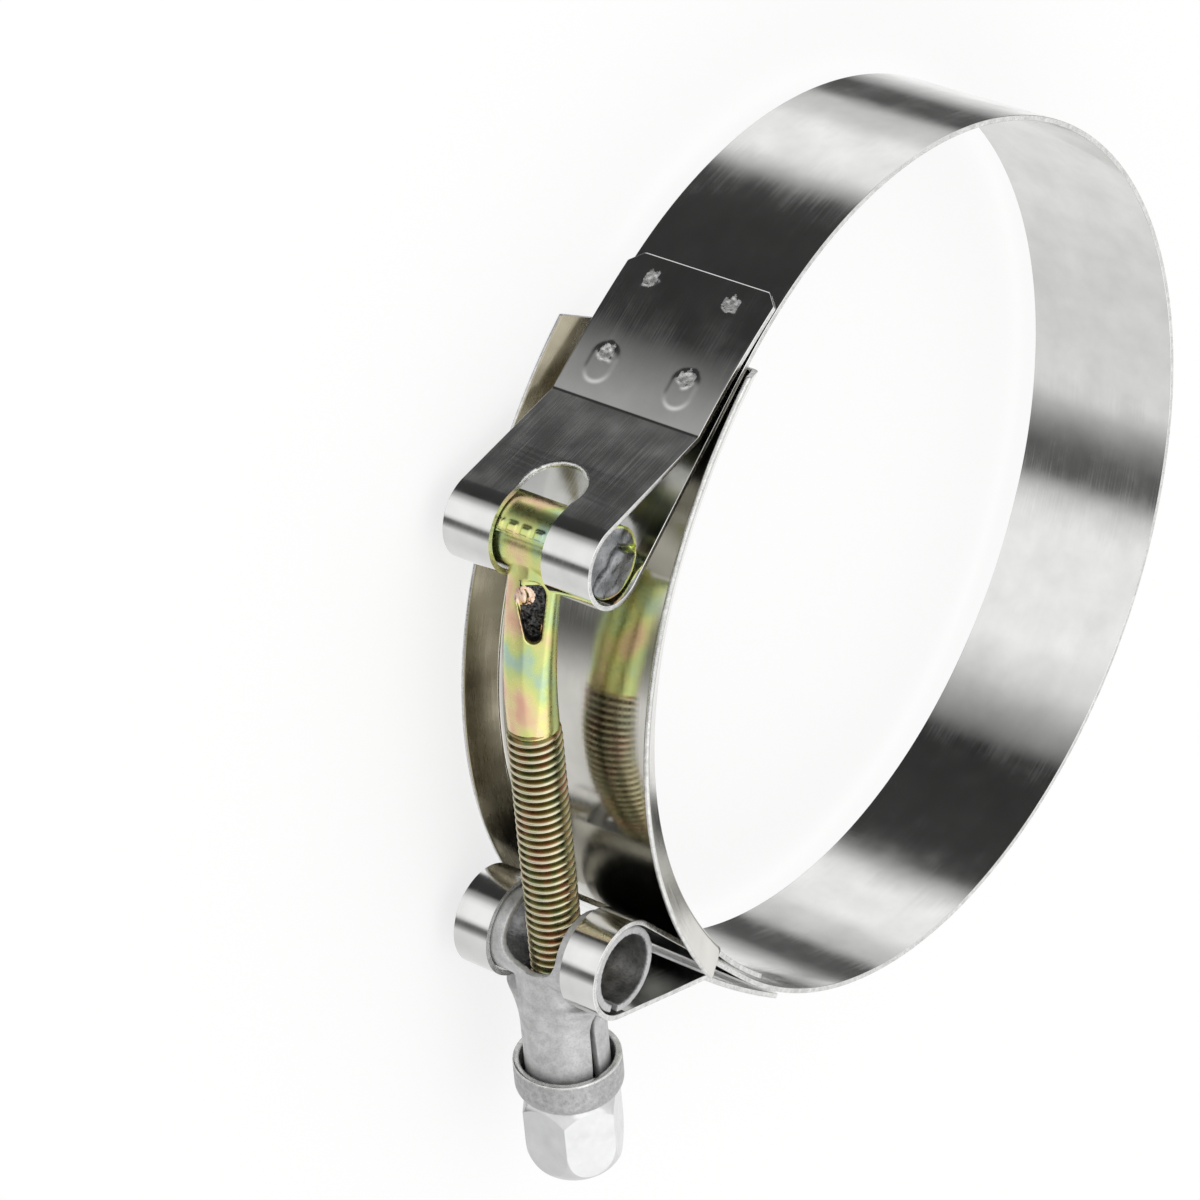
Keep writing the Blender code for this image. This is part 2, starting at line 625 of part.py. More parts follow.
def nut_outline():
    """The nut's round envelope: chamfered seat, hexagon's corners and rounded end."""
    bore = THREAD_RADIUS + RUNNING_CLEARANCE
    corner = NUT_FLATS / math.sqrt(3)
    end = NUT_HEIGHT
    nylon_start = end - NYLON_LIP - NYLON_HEIGHT - 2 * NYLON_CLEARANCE
    nylon_radius = NYLON_RADIUS + NYLON_CLEARANCE
    mouth = NYLON_RADIUS - NYLON_LIP
    profile = [Vector((0.0, bore)), Vector((0.0, NUT_SEAT_RADIUS)), Vector((NUT_CHAMFER, corner))]
    for i in range(9):
        turn = math.pi / 2 * i / 8
        profile.append(Vector((NUT_DOME_START + (end - NUT_DOME_START) * math.sin(turn),
                               NUT_END_RADIUS + (corner - NUT_END_RADIUS) * math.cos(turn))))
    profile += [Vector((end, mouth)), Vector((end - NYLON_LIP, mouth)),
                Vector((end - NYLON_LIP, nylon_radius)), Vector((nylon_start, nylon_radius)),
                Vector((nylon_start, bore))]
    return [p + Vector((NUT_SEAT, 0)) for p in profile]


def build_lock_nut(root):
    """A hexagon lock nut whose rounded end is rolled over its nylon ring."""
    zinc = new_material("bright_zinc", (0.78, 0.79, 0.8), 0.18, 1.0)
    nut = new_object("lock_nut", lambda bm: turned_solid(bm, nut_outline(), 48), zinc)
    on_bolt_axis(nut, root)
    hexagon = new_object("nut_hexagon", lambda bm: rod(
        bm, (NUT_SEAT - NUT_CHAMFER, 0, 0), (NUT_SEAT + 2 * NUT_HEIGHT, 0, 0),
        NUT_FLATS / math.sqrt(3) * 0.9995, 6))
    combine(nut, hexagon, "INTERSECT")
    hexagon.rotation_euler = (math.radians(NUT_TURN), 0, 0)
    return nut


def build_nylon_insert(root):
    """The nylon ring held in the nut's collar, which grips the thread."""
    nylon = new_material("nylon", (0.85, 0.87, 0.9), 0.45, 0.0)
    start = NUT_SEAT + NUT_HEIGHT - NYLON_LIP - NYLON_CLEARANCE - NYLON_HEIGHT
    bore = THREAD_RADIUS + RUNNING_CLEARANCE
    profile = [Vector((start, bore)), Vector((start, NYLON_RADIUS)),
               Vector((start + NYLON_HEIGHT, NYLON_RADIUS)), Vector((start + NYLON_HEIGHT, bore))]
    ring = new_object("nylon_insert", lambda bm: turned_solid(bm, profile), nylon)
    on_bolt_axis(ring, root)
    return ring


def ring_centre():
    """Where the ring's middle stands, so that the clamp's box is centred over the origin."""
    nut_end = NUT_SEAT + NUT_HEIGHT
    nut_reach = nut_end * math.cos(BOLT_TILT)
    nut_reach += NUT_END_RADIUS * math.sin(BOLT_TILT)
    right = max(LOOP_SPACING / 2 + nut_reach, RING_OUTER_RADIUS)
    front = LOOP_DISTANCE + LOWER_LOOP_BORE / 2 + BAND_THICKNESS
    half_height = max(p.x for p in bridge_section())
    return Vector(((RING_OUTER_RADIUS - right) / 2, (front - RING_OUTER_RADIUS) / 2, half_height))


def main():
    """Build every piece under one empty at the ring's centre."""
    for obj in list(bpy.data.objects):
        bpy.data.objects.remove(obj)
    root = bpy.data.objects.new("ring_centre", None)
    bpy.context.collection.objects.link(root)
    root.location = ring_centre()
    build_band(root)
    build_bridge(root)
    build_t_bolt(root)
    build_trunnion(root)
    build_cup_washer(root)
    build_lock_nut(root)
    build_nylon_insert(root)
    bpy.context.view_layer.update()


main()
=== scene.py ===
"""Looks of a T-bolt hose clamp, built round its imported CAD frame.

Shapes are worked out in millimetres in three plain frames and then set into the row frame:
the ring's frame (origin in the ring's middle, Z along its axis, the lugs at -Y), the head's
frame (origin on the bolt head's axis, X along the bolt) and the cross frame (origin on the
trunnion's axis, X along the bolt).
"""

from __future__ import annotations

import json
import logging
import math
from dataclasses import dataclass, field
from enum import Enum
from typing import Callable, Sequence

import bmesh
import bpy
import numpy as np
from mathutils import Matrix, Vector

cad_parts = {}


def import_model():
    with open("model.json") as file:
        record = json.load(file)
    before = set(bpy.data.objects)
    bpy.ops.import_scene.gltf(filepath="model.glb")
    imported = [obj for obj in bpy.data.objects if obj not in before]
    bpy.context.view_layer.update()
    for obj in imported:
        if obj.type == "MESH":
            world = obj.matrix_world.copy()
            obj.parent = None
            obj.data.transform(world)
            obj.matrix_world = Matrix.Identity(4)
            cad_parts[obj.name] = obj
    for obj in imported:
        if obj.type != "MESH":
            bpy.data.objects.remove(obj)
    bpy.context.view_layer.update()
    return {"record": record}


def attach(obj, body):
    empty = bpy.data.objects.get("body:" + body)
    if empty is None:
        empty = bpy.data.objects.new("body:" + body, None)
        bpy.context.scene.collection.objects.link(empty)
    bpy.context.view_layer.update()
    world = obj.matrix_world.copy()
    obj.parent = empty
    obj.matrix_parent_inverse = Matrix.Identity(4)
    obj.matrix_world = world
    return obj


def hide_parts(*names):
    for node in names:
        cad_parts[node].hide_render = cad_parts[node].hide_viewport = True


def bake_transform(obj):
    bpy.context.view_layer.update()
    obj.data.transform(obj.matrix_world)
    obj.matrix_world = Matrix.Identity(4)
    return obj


MM = 0.001
# UV units per millimetre of strip.
STRIP_UV = 0.01
# Width of the rounding that deburring leaves on sheared edges, in millimetres.
DEBURR = 0.08
LOG = logging.getLogger("t_bolt_clamp")

Ring = list[Vector]


def srgb(hex_colour: str) -> tuple[float, float, float, float]:
    """Turn an sRGB hex colour into linear RGBA.

    Args:
        hex_colour: A colour such as "#C9CBCC".

    Returns:
        Linear red, green, blue and an alpha of 1.
    """
    parts = [int(hex_colour[i:i + 2], 16) / 255 for i in (1, 3, 5)]
    linear = [c / 12.92 if c <= 0.04045 else ((c + 0.055) / 1.055) ** 2.4 for c in parts]
    return (*linear, 1.0)


def polar(radius: float, degrees: float) -> Vector:
    """A point of the ring's plane, its angle counted from -Y towards +X."""
    turn = math.radians(degrees)
    return Vector((radius * math.sin(turn), -radius * math.cos(turn)))


def turned(vector: Vector, angle: float) -> Vector:
    """A plane vector turned counter-clockwise by an angle in radians."""
    return Matrix.Rotation(angle, 2) @ vector


def arc(centre: Vector, radius: float, start: float, end: float, step: float) -> Ring:
    """Points on an arc.

    Args:
        centre: The arc's middle.
        radius: Its radius.
        start: Plain angle of the first point in degrees.
        end: Plain angle of the last point in degrees.
        step: Longest step between two points in degrees.

    Returns:
        The points in order.
    """
    count = max(2, math.ceil(abs(end - start) / step))
    angles = (math.radians(start + (end - start) * i / count) for i in range(count + 1))
    return [centre + radius * Vector((math.cos(a), math.sin(a))) for a in angles]


def straight(start: Vector, end: Vector, step: float) -> Ring:
    """The points inside a straight run, both ends left out, no more than a step apart."""
    count = max(1, math.ceil((end - start).length / step))
    return [start.lerp(end, i / count) for i in range(1, count)]


def rounded_corner(before: Vector, corner: Vector, after: Vector, radius: float) -> Ring:
    """A corner replaced by an arc that is tangent to both sides.

    Args:
        before: A point on the side that arrives.
        corner: The sharp corner.
        after: A point on the side that leaves.
        radius: The bend's radius.

    Returns:
        Nine points along the bend.
    """
    arrive, leave = (corner - before).normalized(), (after - corner).normalized()
    bend = arrive.angle_signed(leave)
    reach = radius * math.tan(abs(bend) / 2)
    side = math.copysign(1.0, bend)
    centre = corner - arrive * reach + turned(arrive, -side * math.pi / 2) * radius
    spoke = corner - arrive * reach - centre
    steps = 8
    return [centre + turned(spoke, -bend * i / steps) for i in range(steps + 1)]


def loft(bm: bmesh.types.BMesh, rings: Sequence[Sequence[Vector]], caps: bool = True) -> None:
    """Fill the space between rings of points with quads.

    Args:
        bm: The mesh to add to.
        rings: Rings with the same count of points.
        caps: Whether both ends are closed.
    """
    rows = [[bm.verts.new(p) for p in ring] for ring in rings]
    for low, high in zip(rows, rows[1:]):
        for i in range(len(low)):
            j = (i + 1) % len(low)
            bm.faces.new((low[i], low[j], high[j], high[i]))
    if caps:
        bm.faces.new(rows[0])
        bm.faces.new(rows[-1])


def lathe(bm: bmesh.types.BMesh, profile: Sequence[Vector], sides: int) -> None:
    """Turn a closed (x, radius) outline round the X axis.

    Args:
        bm: The mesh to add to.
        profile: The outline.
        sides: Steps round the axis.
    """
    rows = []
    for i in range(sides):
        turn = 2 * math.pi * i / sides
        rows.append([bm.verts.new((p.x, p.y * math.cos(turn), p.y * math.sin(turn)))
                     for p in profile])
    for row, after in zip(rows, rows[1:] + rows[:1]):
        for i in range(len(profile)):
            j = (i + 1) % len(profile)
            bm.faces.new((row[i], row[j], after[j], after[i]))


def prism(bm: bmesh.types.BMesh, outline: Sequence[Vector], low: float, high: float) -> None:
    """A plane outline pulled out along Z, from low to high."""
    loft(bm, [[Vector((p.x, p.y, z)) for p in outline] for z in (low, high)])


def rod(bm: bmesh.types.BMesh, start: Vector, end: Vector, radius: float, sides: int = 96) -> None:
    """A round bar between two points, used as a cutter or as the start of a formed shape.

    Args:
        bm: The mesh to add to.
        start: The middle of one end.
        end: The middle of the other end.
        radius: The bar's radius.
        sides: Steps round the bar.
    """
    axis = end - start
    place = Matrix.Translation((start + end) / 2) @ axis.to_track_quat("Z", "X").to_matrix().to_4x4()
    bmesh.ops.create_cone(bm, cap_ends=True, segments=sides, radius1=radius, radius2=radius,
                          depth=axis.length, matrix=place)


def block(bm: bmesh.types.BMesh, size: Vector, place: Matrix) -> None:
    """A cutter block of a size, set by a matrix."""
    bmesh.ops.create_cube(bm, size=1.0, matrix=place @ Matrix.Diagonal((*size, 1.0)))


def new_object(name: str, build: Callable[[bmesh.types.BMesh], None],
               materials: Sequence[bpy.types.Material] = ()) -> bpy.types.Object:
    """Make a mesh object, still in millimetres.

    Args:
        name: The object's name.
        build: Fills the mesh.
        materials: Its materials in order of slot.

    Returns:
        The linked object.
    """
    bm = bmesh.new()
    build(bm)
    bmesh.ops.recalc_face_normals(bm, faces=bm.faces)
    mesh = bpy.data.meshes.new(name)
    bm.to_mesh(mesh)
    bm.free()
    for material in materials:
        mesh.materials.append(material)
    obj = bpy.data.objects.new(name, mesh)
    bpy.context.scene.collection.objects.link(obj)
    return obj


def bake_modifiers(obj: bpy.types.Object) -> None:
    """Apply an object's modifiers to its mesh.

    Args:
        obj: The object.
    """
    bpy.context.view_layer.update()
    evaluated = obj.evaluated_get(bpy.context.evaluated_depsgraph_get())
    old = obj.data
    obj.data = bpy.data.meshes.new_from_object(evaluated)
    obj.data.name = obj.name
    obj.modifiers.clear()
    bpy.data.meshes.remove(old)


def combine(obj: bpy.types.Object, tool: bpy.types.Object, operation: str) -> None:
    """Carry out a Boolean step at once and remove its tool.

    Args:
        obj: The object that is changed.
        tool: The tool's object.
        operation: UNION, DIFFERENCE or INTERSECT.
    """
    step = obj.modifiers.new(tool.name, "BOOLEAN")
    step.operation, step.object, step.solver = operation, tool, "EXACT"
    step.material_mode = "TRANSFER"
    bake_modifiers(obj)
    bpy.data.objects.remove(tool)


def soften_edges(obj: bpy.types.Object, width: float, angle: float = 50.0) -> None:
    """Round an object's sharp edges a little, as deburring does.

    Args:
        obj: The object, in millimetres.
        width: The rounding's width.
        angle: Only edges that bend more than this many degrees are rounded.
    """
    step = obj.modifiers.new("deburr", "BEVEL")
    step.width, step.segments = width, 2
    step.limit_method, step.angle_limit = "ANGLE", math.radians(angle)
    step.use_clamp_overlap, step.harden_normals = True, False
    bake_modifiers(obj)


def remesh(obj: bpy.types.Object, voxel: float, rounds: int) -> None:
    """Join an object's solids into one skin whose corners are rounded.

    Args:
        obj: The object, in millimetres.
        voxel: The skin's grid size.
        rounds: How often the skin is smoothed.
    """
    step = obj.modifiers.new("skin", "REMESH")
    step.mode, step.voxel_size, step.adaptivity = "VOXEL", voxel, 0.0
    step = obj.modifiers.new("soft", "SMOOTH")
    step.factor, step.iterations = 0.5, rounds
    bake_modifiers(obj)


def move_vertices(obj: bpy.types.Object, moved: Callable[[np.ndarray], np.ndarray]) -> None:
    """Change an object's points all at once.

    Args:
        obj: The object.
        moved: Takes an array of points and returns their new places.
    """
    mesh = obj.data
    flat = np.empty(len(mesh.vertices) * 3, np.float32)
    mesh.vertices.foreach_get("co", flat)
    points = moved(flat.reshape(-1, 3).astype(float))
    mesh.vertices.foreach_set("co", points.astype(np.float32).ravel())
    mesh.update()


def smooth_step(value: np.ndarray, low: float, high: float) -> np.ndarray:
    """Zero below low, one above high and a soft slope between them."""
    share = np.clip((value - low) / (high - low), 0.0, 1.0)
    return share * share * (3 - 2 * share)


def ripple(points: np.ndarray, wave: float, seed: float) -> np.ndarray:
    """A smooth, uneven height from a few crossed waves, the same on each run.

    Args:
        points: An array of points in millimetres.
        wave: The typical length of a wave.
        seed: Shifts the waves.

    Returns:
        Heights from about -1 to 1.
    """
    total = np.zeros(len(points))
    for i in range(7):
        turn = seed + i * 2.399
        lean = math.cos(1.7 * i + seed)
        way = np.array((math.cos(turn), math.sin(turn), lean)) / math.hypot(1.0, lean)
        total += np.sin(points @ way * (2 * math.pi / (wave * (0.7 + 0.13 * i))) + 1.3 * i + seed)
    return total / 4.0


def settle(obj: bpy.types.Object, place: Matrix, sharp: float, flatten: bool = False) -> None:
    """Bring a finished mesh from millimetres into the row frame and shade it.

    Args:
        obj: The object.
        place: From the piece's frame in millimetres to the row frame in metres.
        sharp: Edges that bend more than this many degrees stay sharp.
        flatten: Whether large faces keep their own normals and small ones carry the bends.
    """
    obj.data.transform(place)
    obj.data.shade_smooth()
    obj.data.set_sharp_from_angle(angle=math.radians(sharp))
    if flatten:
        step = obj.modifiers.new("flat_faces", "WEIGHTED_NORMAL")
        step.mode, step.weight, step.keep_sharp = "FACE_AREA", 100, True
        bake_modifiers(obj)
    obj.data.update()


class Lines(Enum):
    """Which coordinate a finish's grain follows."""

    STRIP = "strip"
    SOLID = "solid"


class Nodes:
    """A material's node tree, filled through one small function."""

    def __init__(self, tree: bpy.types.NodeTree) -> None:
        """Empty the tree."""
        self.tree = tree
        self.tree.nodes.clear()

    def add(self, kind: str, settings: dict | None = None,
            links: dict | None = None) -> bpy.types.Node:
        """Add a node with its settings and links.

        Args:
            kind: The node's type.
            settings: Values by property name or, for a socket, by its name or number.
            links: What feeds each socket: an output, or a plain value.

        Returns:
            The node.
        """
        node = self.tree.nodes.new(kind)
        for key, value in (settings or {}).items():
            setattr(node, key, value)
        for key, value in (links or {}).items():
            socket = node.inputs[key]
            if isinstance(value, bpy.types.NodeSocket):
                self.tree.links.new(value, socket)
            else:
                socket.default_value = value
        return node

    def ramp(self, share: bpy.types.NodeSocket, stops: Sequence[tuple[float, tuple]],
             blend: str = "LINEAR") -> bpy.types.NodeSocket:
        """A colour ramp.

        Args:
            share: What drives it.
            stops: Place and linear colour of each stop, in order.
            blend: How it runs between stops.

        Returns:
            Its colour output.
        """
        node = self.add("ShaderNodeValToRGB", links={"Fac": share})
        node.color_ramp.interpolation = blend
        elements = node.color_ramp.elements
        elements[0].position, elements[0].color = stops[0]
        elements[1].position, elements[1].color = stops[-1]
        for place, colour in stops[1:-1]:
            elements.new(place).color = colour
        return node.outputs["Color"]


@dataclass(frozen=True)
class MetalFinish:
    """A metal surface: its colour, patches, grain and roughness, with sizes in millimetres."""

    name: str
    pale: str
    dark: str
    patch: float
    rough_low: float
    rough_high: float
    grain: tuple[float, float, float]
    bump: float
    lines: Lines = Lines.SOLID
    speckle: float = 0.0
    speckle_size: float = 0.12
    wave: float = 0.0
    wave_height: float = 0.0
    metallic: float = 1.0

    def coordinates(self, nodes: Nodes) -> bpy.types.NodeSocket:
        """The grain's coordinates in millimetres.

        Args:
            nodes: The material's nodes.

        Returns:
            The coordinates' output.
        """
        if self.lines is Lines.STRIP:
            source = nodes.add("ShaderNodeUVMap", {"uv_map": "strip"}).outputs["UV"]
            scale = 1 / STRIP_UV
        else:
            source = nodes.add("ShaderNodeTexCoord").outputs["Object"]
            scale = 1 / MM
        scaled = nodes.add("ShaderNodeVectorMath", {"operation": "SCALE"},
                           {0: source, "Scale": scale})
        return scaled.outputs["Vector"]

    def noise(self, nodes: Nodes, where: bpy.types.NodeSocket, size: Sequence[float],
              detail: float = 3.0) -> bpy.types.NodeSocket:
        """Uneven values whose spots have a size in millimetres along each axis.

        Args:
            nodes: The material's nodes.
            where: The grain's coordinates.
            size: The spots' size along each axis.
            detail: How many finer layers there are.

        Returns:
            The values' output.
        """
        stretch = nodes.add("ShaderNodeVectorMath", {"operation": "DIVIDE"},
                            {0: where, 1: tuple(size)})
        return nodes.add("ShaderNodeTexNoise", links={
            "Vector": stretch.outputs["Vector"], "Scale": 1.0, "Detail": detail}).outputs["Fac"]

    def colour(self, nodes: Nodes, where: bpy.types.NodeSocket) -> bpy.types.NodeSocket:
        """The metal's tint, from its dark to its pale colour in soft patches.

        Args:
            nodes: The material's nodes.
            where: The grain's coordinates.

        Returns:
            The colour's output.
        """
        patches = self.noise(nodes, where, (self.patch,) * 3)
        tint = nodes.ramp(patches, [(0.3, srgb(self.dark)), (0.7, srgb(self.pale))])
        if not self.speckle:
            return tint
        dots = self.noise(nodes, where, (self.speckle_size,) * 3, 1.0)
        pits = nodes.ramp(dots, [(0.36, srgb("#3A3A3A")), (0.5, srgb("#FFFFFF"))])
        mixed = nodes.add("ShaderNodeMix", {"data_type": "RGBA", "blend_type": "MULTIPLY"},
                          {0: self.speckle, 6: tint, 7: pits})
        return mixed.outputs[2]

    def build(self) -> bpy.types.Material:
        """Make the material.

        Returns:
            A Principled metal with procedural colour, roughness and bump.
        """
        material = bpy.data.materials.new(self.name)
        material.use_nodes = True
        nodes = Nodes(material.node_tree)
        where = self.coordinates(nodes)
        grain = self.noise(nodes, where, self.grain)
        smudge = self.noise(nodes, where, (self.patch * 0.8,) * 3, 2.0)
        mixed = nodes.add("ShaderNodeMix", {"data_type": "FLOAT"},
                          {0: 0.5, 2: grain, 3: smudge}).outputs[0]
        rough = nodes.add("ShaderNodeMapRange", links={
            "Value": mixed, "From Min": 0.35, "From Max": 0.65,
            "To Min": self.rough_low, "To Max": self.rough_high}).outputs["Result"]
        height = grain
        if self.speckle:
            extra = self.noise(nodes, where, (self.speckle_size,) * 3, 2.0)
            height = nodes.add("ShaderNodeMath", {"operation": "ADD"},
                               {0: grain, 1: extra}).outputs[0]
        bump = nodes.add("ShaderNodeBump", links={
            "Strength": 1.0, "Distance": self.bump * MM, "Height": height})
        if self.wave:
            broad = self.noise(nodes, where, (self.wave,) * 3, 1.0)
            broad_bump = nodes.add("ShaderNodeBump", links={
                "Strength": 1.0, "Distance": self.wave_height * MM, "Height": broad})
            nodes.tree.links.new(broad_bump.outputs["Normal"], bump.inputs["Normal"])
        shader = nodes.add("ShaderNodeBsdfPrincipled", links={
            "Base Color": self.colour(nodes, where), "Roughness": rough,
            "Normal": bump.outputs["Normal"], "Metallic": self.metallic})
        nodes.add("ShaderNodeOutputMaterial", links={"Surface": shader.outputs[0]})
        return material


@dataclass(frozen=True)
class RainbowZincFinish(MetalFinish):
    """Yellow passivated zinc, whose thin film shows green, pink and teal in cloudy patches.

    Its dark and pale colours are the film's first and last tints, and the others lie between.
    """

    film: tuple[tuple[float, str], ...] = ((0.40, "#CFE096"), (0.50, "#E6E494"), (0.59, "#EED6A6"))
    film_start: float = 0.3
    film_end: float = 0.7
    film_patch: tuple[float, float, float] = (5.5, 3.2, 4.0)
    # Colour of the rubbed crests; when given, the roots are also darkened with painted shade.
    crest: str = ""

    def colour(self, nodes: Nodes, where: bpy.types.NodeSocket) -> bpy.types.NodeSocket:
        """The film's colour by its thickness, with painted shade in the roots, rubbed off the
        crests.

        Args:
            nodes: The material's nodes.
            where: The grain's coordinates.

        Returns:
            The colour's output.
        """
        clouds = self.noise(nodes, where, self.film_patch, 2.0)
        tints = ((self.film_start, self.dark), *self.film, (self.film_end, self.pale))
        tint = nodes.ramp(clouds, [(place, srgb(colour)) for place, colour in tints])
        if not self.crest:
            return tint
        height = nodes.add("ShaderNodeAttribute", {"attribute_name": "crest"}).outputs["Fac"]
        # Painted shade: the roots are darkened towards #4A4630, lighter on the flanks and none at
        # the crests.
        root_shade = nodes.ramp(height, [(0.0, srgb("#4A4630")), (0.45, srgb("#C8C8C8")),
                                   (1.0, srgb("#FFFFFF"))])
        root_shaded_tint = nodes.add("ShaderNodeMix", {"data_type": "RGBA", "blend_type": "MULTIPLY"},
                         {0: 1.0, 6: tint, 7: root_shade}).outputs[2]
        rub = nodes.add("ShaderNodeMapRange", links={
            "Value": height, "From Min": 0.7, "From Max": 1.0}).outputs["Result"]
        mixed = nodes.add("ShaderNodeMix", {"data_type": "RGBA"},
                          {0: rub, 6: root_shaded_tint, 7: srgb(self.crest)})
        return mixed.outputs[2]


# Cold-rolled 304 strip, bright annealed: a near mirror with faint rolling lines lengthwise.
ROLLED_STRIP = MetalFinish("polished_stainless", "#EDEDEB", "#DFDFDD", 5.0, 0.04, 0.2,
                           (14.0, 0.14, 14.0), 0.0018, Lines.STRIP, wave=11.0, wave_height=0.05)
# The same steel where it was sheared: a torn, speckled and bright edge.
SHEARED_EDGE = MetalFinish("sheared_stainless", "#EFEFED", "#CFCFCD", 0.8, 0.2, 0.38,
                           (0.12, 0.12, 0.12), 0.006, Lines.SOLID, 0.3, 0.09)
# Bridge plate of the same strip, formed in rolls, which leaves it a little less bright.
ROLLED_BRIDGE = MetalFinish("rolled_stainless", "#E2E0D9", "#CFCDC6", 7.0, 0.08, 0.19,
                            (12.0, 0.2, 12.0), 0.002, Lines.STRIP, wave=9.0, wave_height=0.04)
# The inner faces of its lips, which the forming rolls left duller; their darker colour is painted
# shade between the lips and the band.
DULL_SHADED_LIP = MetalFinish("dull_lip_painted_shade", "#AEA793", "#8A8371", 5.0, 0.2, 0.34,
                         (10.0, 0.2, 10.0), 0.003, Lines.STRIP)
# Resistance-weld marks: steel that was melted and squeezed, so it is rough and blotched.
WELD_SPOT = MetalFinish("spot_weld", "#F0F0EE", "#A4A4A4", 0.5, 0.2, 0.42,
                        (0.3, 0.3, 0.3), 0.02, Lines.SOLID, 0.2, 0.2, metallic=0.7)
# Zinc-plated steel, yellow passivated: satin metal under a thin film, pale with soft tints.
YELLOW_ZINC = RainbowZincFinish("yellow_zinc", "#EAB8A0", "#B8D3BE", 3.0, 0.22, 0.36,
                                (0.4, 0.4, 0.4), 0.004)
# The same film in the thread, where it pooled: orange and green flanks, rubbed pale crests, painted
# shade in the roots.
YELLOW_THREAD_ROOT_SHADE = RainbowZincFinish(
    "yellow_zinc_thread_root_shade", "#C78E70", "#8A9466", 3.0, 0.2, 0.34, (0.3, 0.3, 0.3), 0.003,
    film=((0.46, "#ADA568"), (0.58, "#BC9767")), film_start=0.32,
    film_patch=(3.0, 1.6, 1.6), crest="#D9D5BC")
# The notch's torn floor, where the plating never took: almost black, which is painted shade of the
# pocket, with bright facets.
TORN_STEEL_SHADE = MetalFinish("torn_steel_painted_shade", "#6A6A6C", "#141415", 0.5, 0.3, 0.6,
                         (0.3, 0.3, 0.3), 0.08, Lines.SOLID, 0.7, 0.25)
# The rolled head's cut ends: plain grey zinc over a sheared face.
SHEARED_END = MetalFinish("sheared_zinc", "#A4A6A8", "#6E7072", 1.6, 0.22, 0.42,
                          (0.4, 0.4, 0.4), 0.03, Lines.SOLID, 0.2, 0.3)
# The bead in the notch, where the film is thick and reads as pink copper.
THICK_FILM = MetalFinish("thick_film", "#F2DBC8", "#E6BFA4", 0.8, 0.16, 0.28,
                         (0.3, 0.3, 0.3), 0.01)
# Clear-passivated zinc on stamped sheet: matt, pale and faintly mottled.
SATIN_ZINC = MetalFinish("satin_zinc", "#CFCFCF", "#B5B5B5", 1.3, 0.42, 0.56,
                         (0.3, 0.3, 0.3), 0.012, Lines.SOLID, 0.12, 0.25, metallic=0.6)
# Tumbled zinc on the drawn cup: matter and greyer, with speckles where it was knocked.
DULL_ZINC = MetalFinish("dull_zinc", "#BDBDBD", "#A0A0A0", 0.6, 0.36, 0.5,
                        (0.25, 0.25, 0.25), 0.01, Lines.SOLID, 0.15, 0.2, metallic=0.6)
# The trunnion's inside, rough from the drawing die; its darker colour is painted shade inside the
# bore.
BORE_ZINC_SHADE = MetalFinish("bore_zinc_painted_shade", "#A6A6A6", "#6C6C6C", 1.4, 0.34, 0.5,
                        (0.3, 0.3, 0.3), 0.03, Lines.SOLID, 0.2, 0.3, metallic=0.8)
# Bright zinc on the cold-headed nut: smooth and very pale.
BRIGHT_ZINC = MetalFinish("bright_zinc", "#DEDEDF", "#D2D2D3", 2.4, 0.14, 0.26,
                          (0.5, 0.5, 0.5), 0.004, metallic=0.85)


@dataclass(frozen=True)
class NylonFinish:
    """Moulded nylon: milky, slightly waxy, with fine mould texture."""

    name: str = "nylon"
    pale: str = "#E6E9EE"
    dark: str = "#D3D8DF"

    def build(self) -> bpy.types.Material:
        """Make the material.

        Returns:
            A Principled plastic with procedural colour and bump.
        """
        material = bpy.data.materials.new(self.name)
        material.use_nodes = True
        nodes = Nodes(material.node_tree)
        where = nodes.add("ShaderNodeTexCoord").outputs["Object"]
        fine = nodes.add("ShaderNodeTexNoise", links={"Vector": where, "Scale": 2 / MM})
        tint = nodes.ramp(fine.outputs["Fac"], [(0.3, srgb(self.dark)), (0.7, srgb(self.pale))])
        bump = nodes.add("ShaderNodeBump", links={
            "Strength": 0.5, "Distance": 0.01 * MM, "Height": fine.outputs["Fac"]})
        shader = nodes.add("ShaderNodeBsdfPrincipled", links={
            "Base Color": tint, "Roughness": 0.42, "IOR": 1.53,
            "Normal": bump.outputs["Normal"]})
        nodes.add("ShaderNodeOutputMaterial", links={"Surface": shader.outputs[0]})
        return material


class Finishes:
    """Every material of the clamp, made once."""

    def __init__(self) -> None:
        """Build the materials."""
        self.strip = ROLLED_STRIP.build()
        self.edge = SHEARED_EDGE.build()
        self.bridge = ROLLED_BRIDGE.build()
        # The lips' inner faces: a duller finish whose darker colour is painted shade.
        self.lip = DULL_SHADED_LIP.build()
        self.weld = WELD_SPOT.build()
        self.bolt = YELLOW_ZINC.build()
        # The thread: film colours, rubbed crests and painted shade in the roots.
        self.thread = YELLOW_THREAD_ROOT_SHADE.build()
        # The notch's torn finish, painted near-black as the pocket's shade.
        self.torn = TORN_STEEL_SHADE.build()
        self.sheared_end = SHEARED_END.build()
        self.thick_film = THICK_FILM.build()
        self.trunnion = SATIN_ZINC.build()
        # The barrel's bore: rough, and darkened by painted shade.
        self.bore = BORE_ZINC_SHADE.build()
        self.cup = DULL_ZINC.build()
        self.nut = BRIGHT_ZINC.build()
        self.nylon = NylonFinish().build()


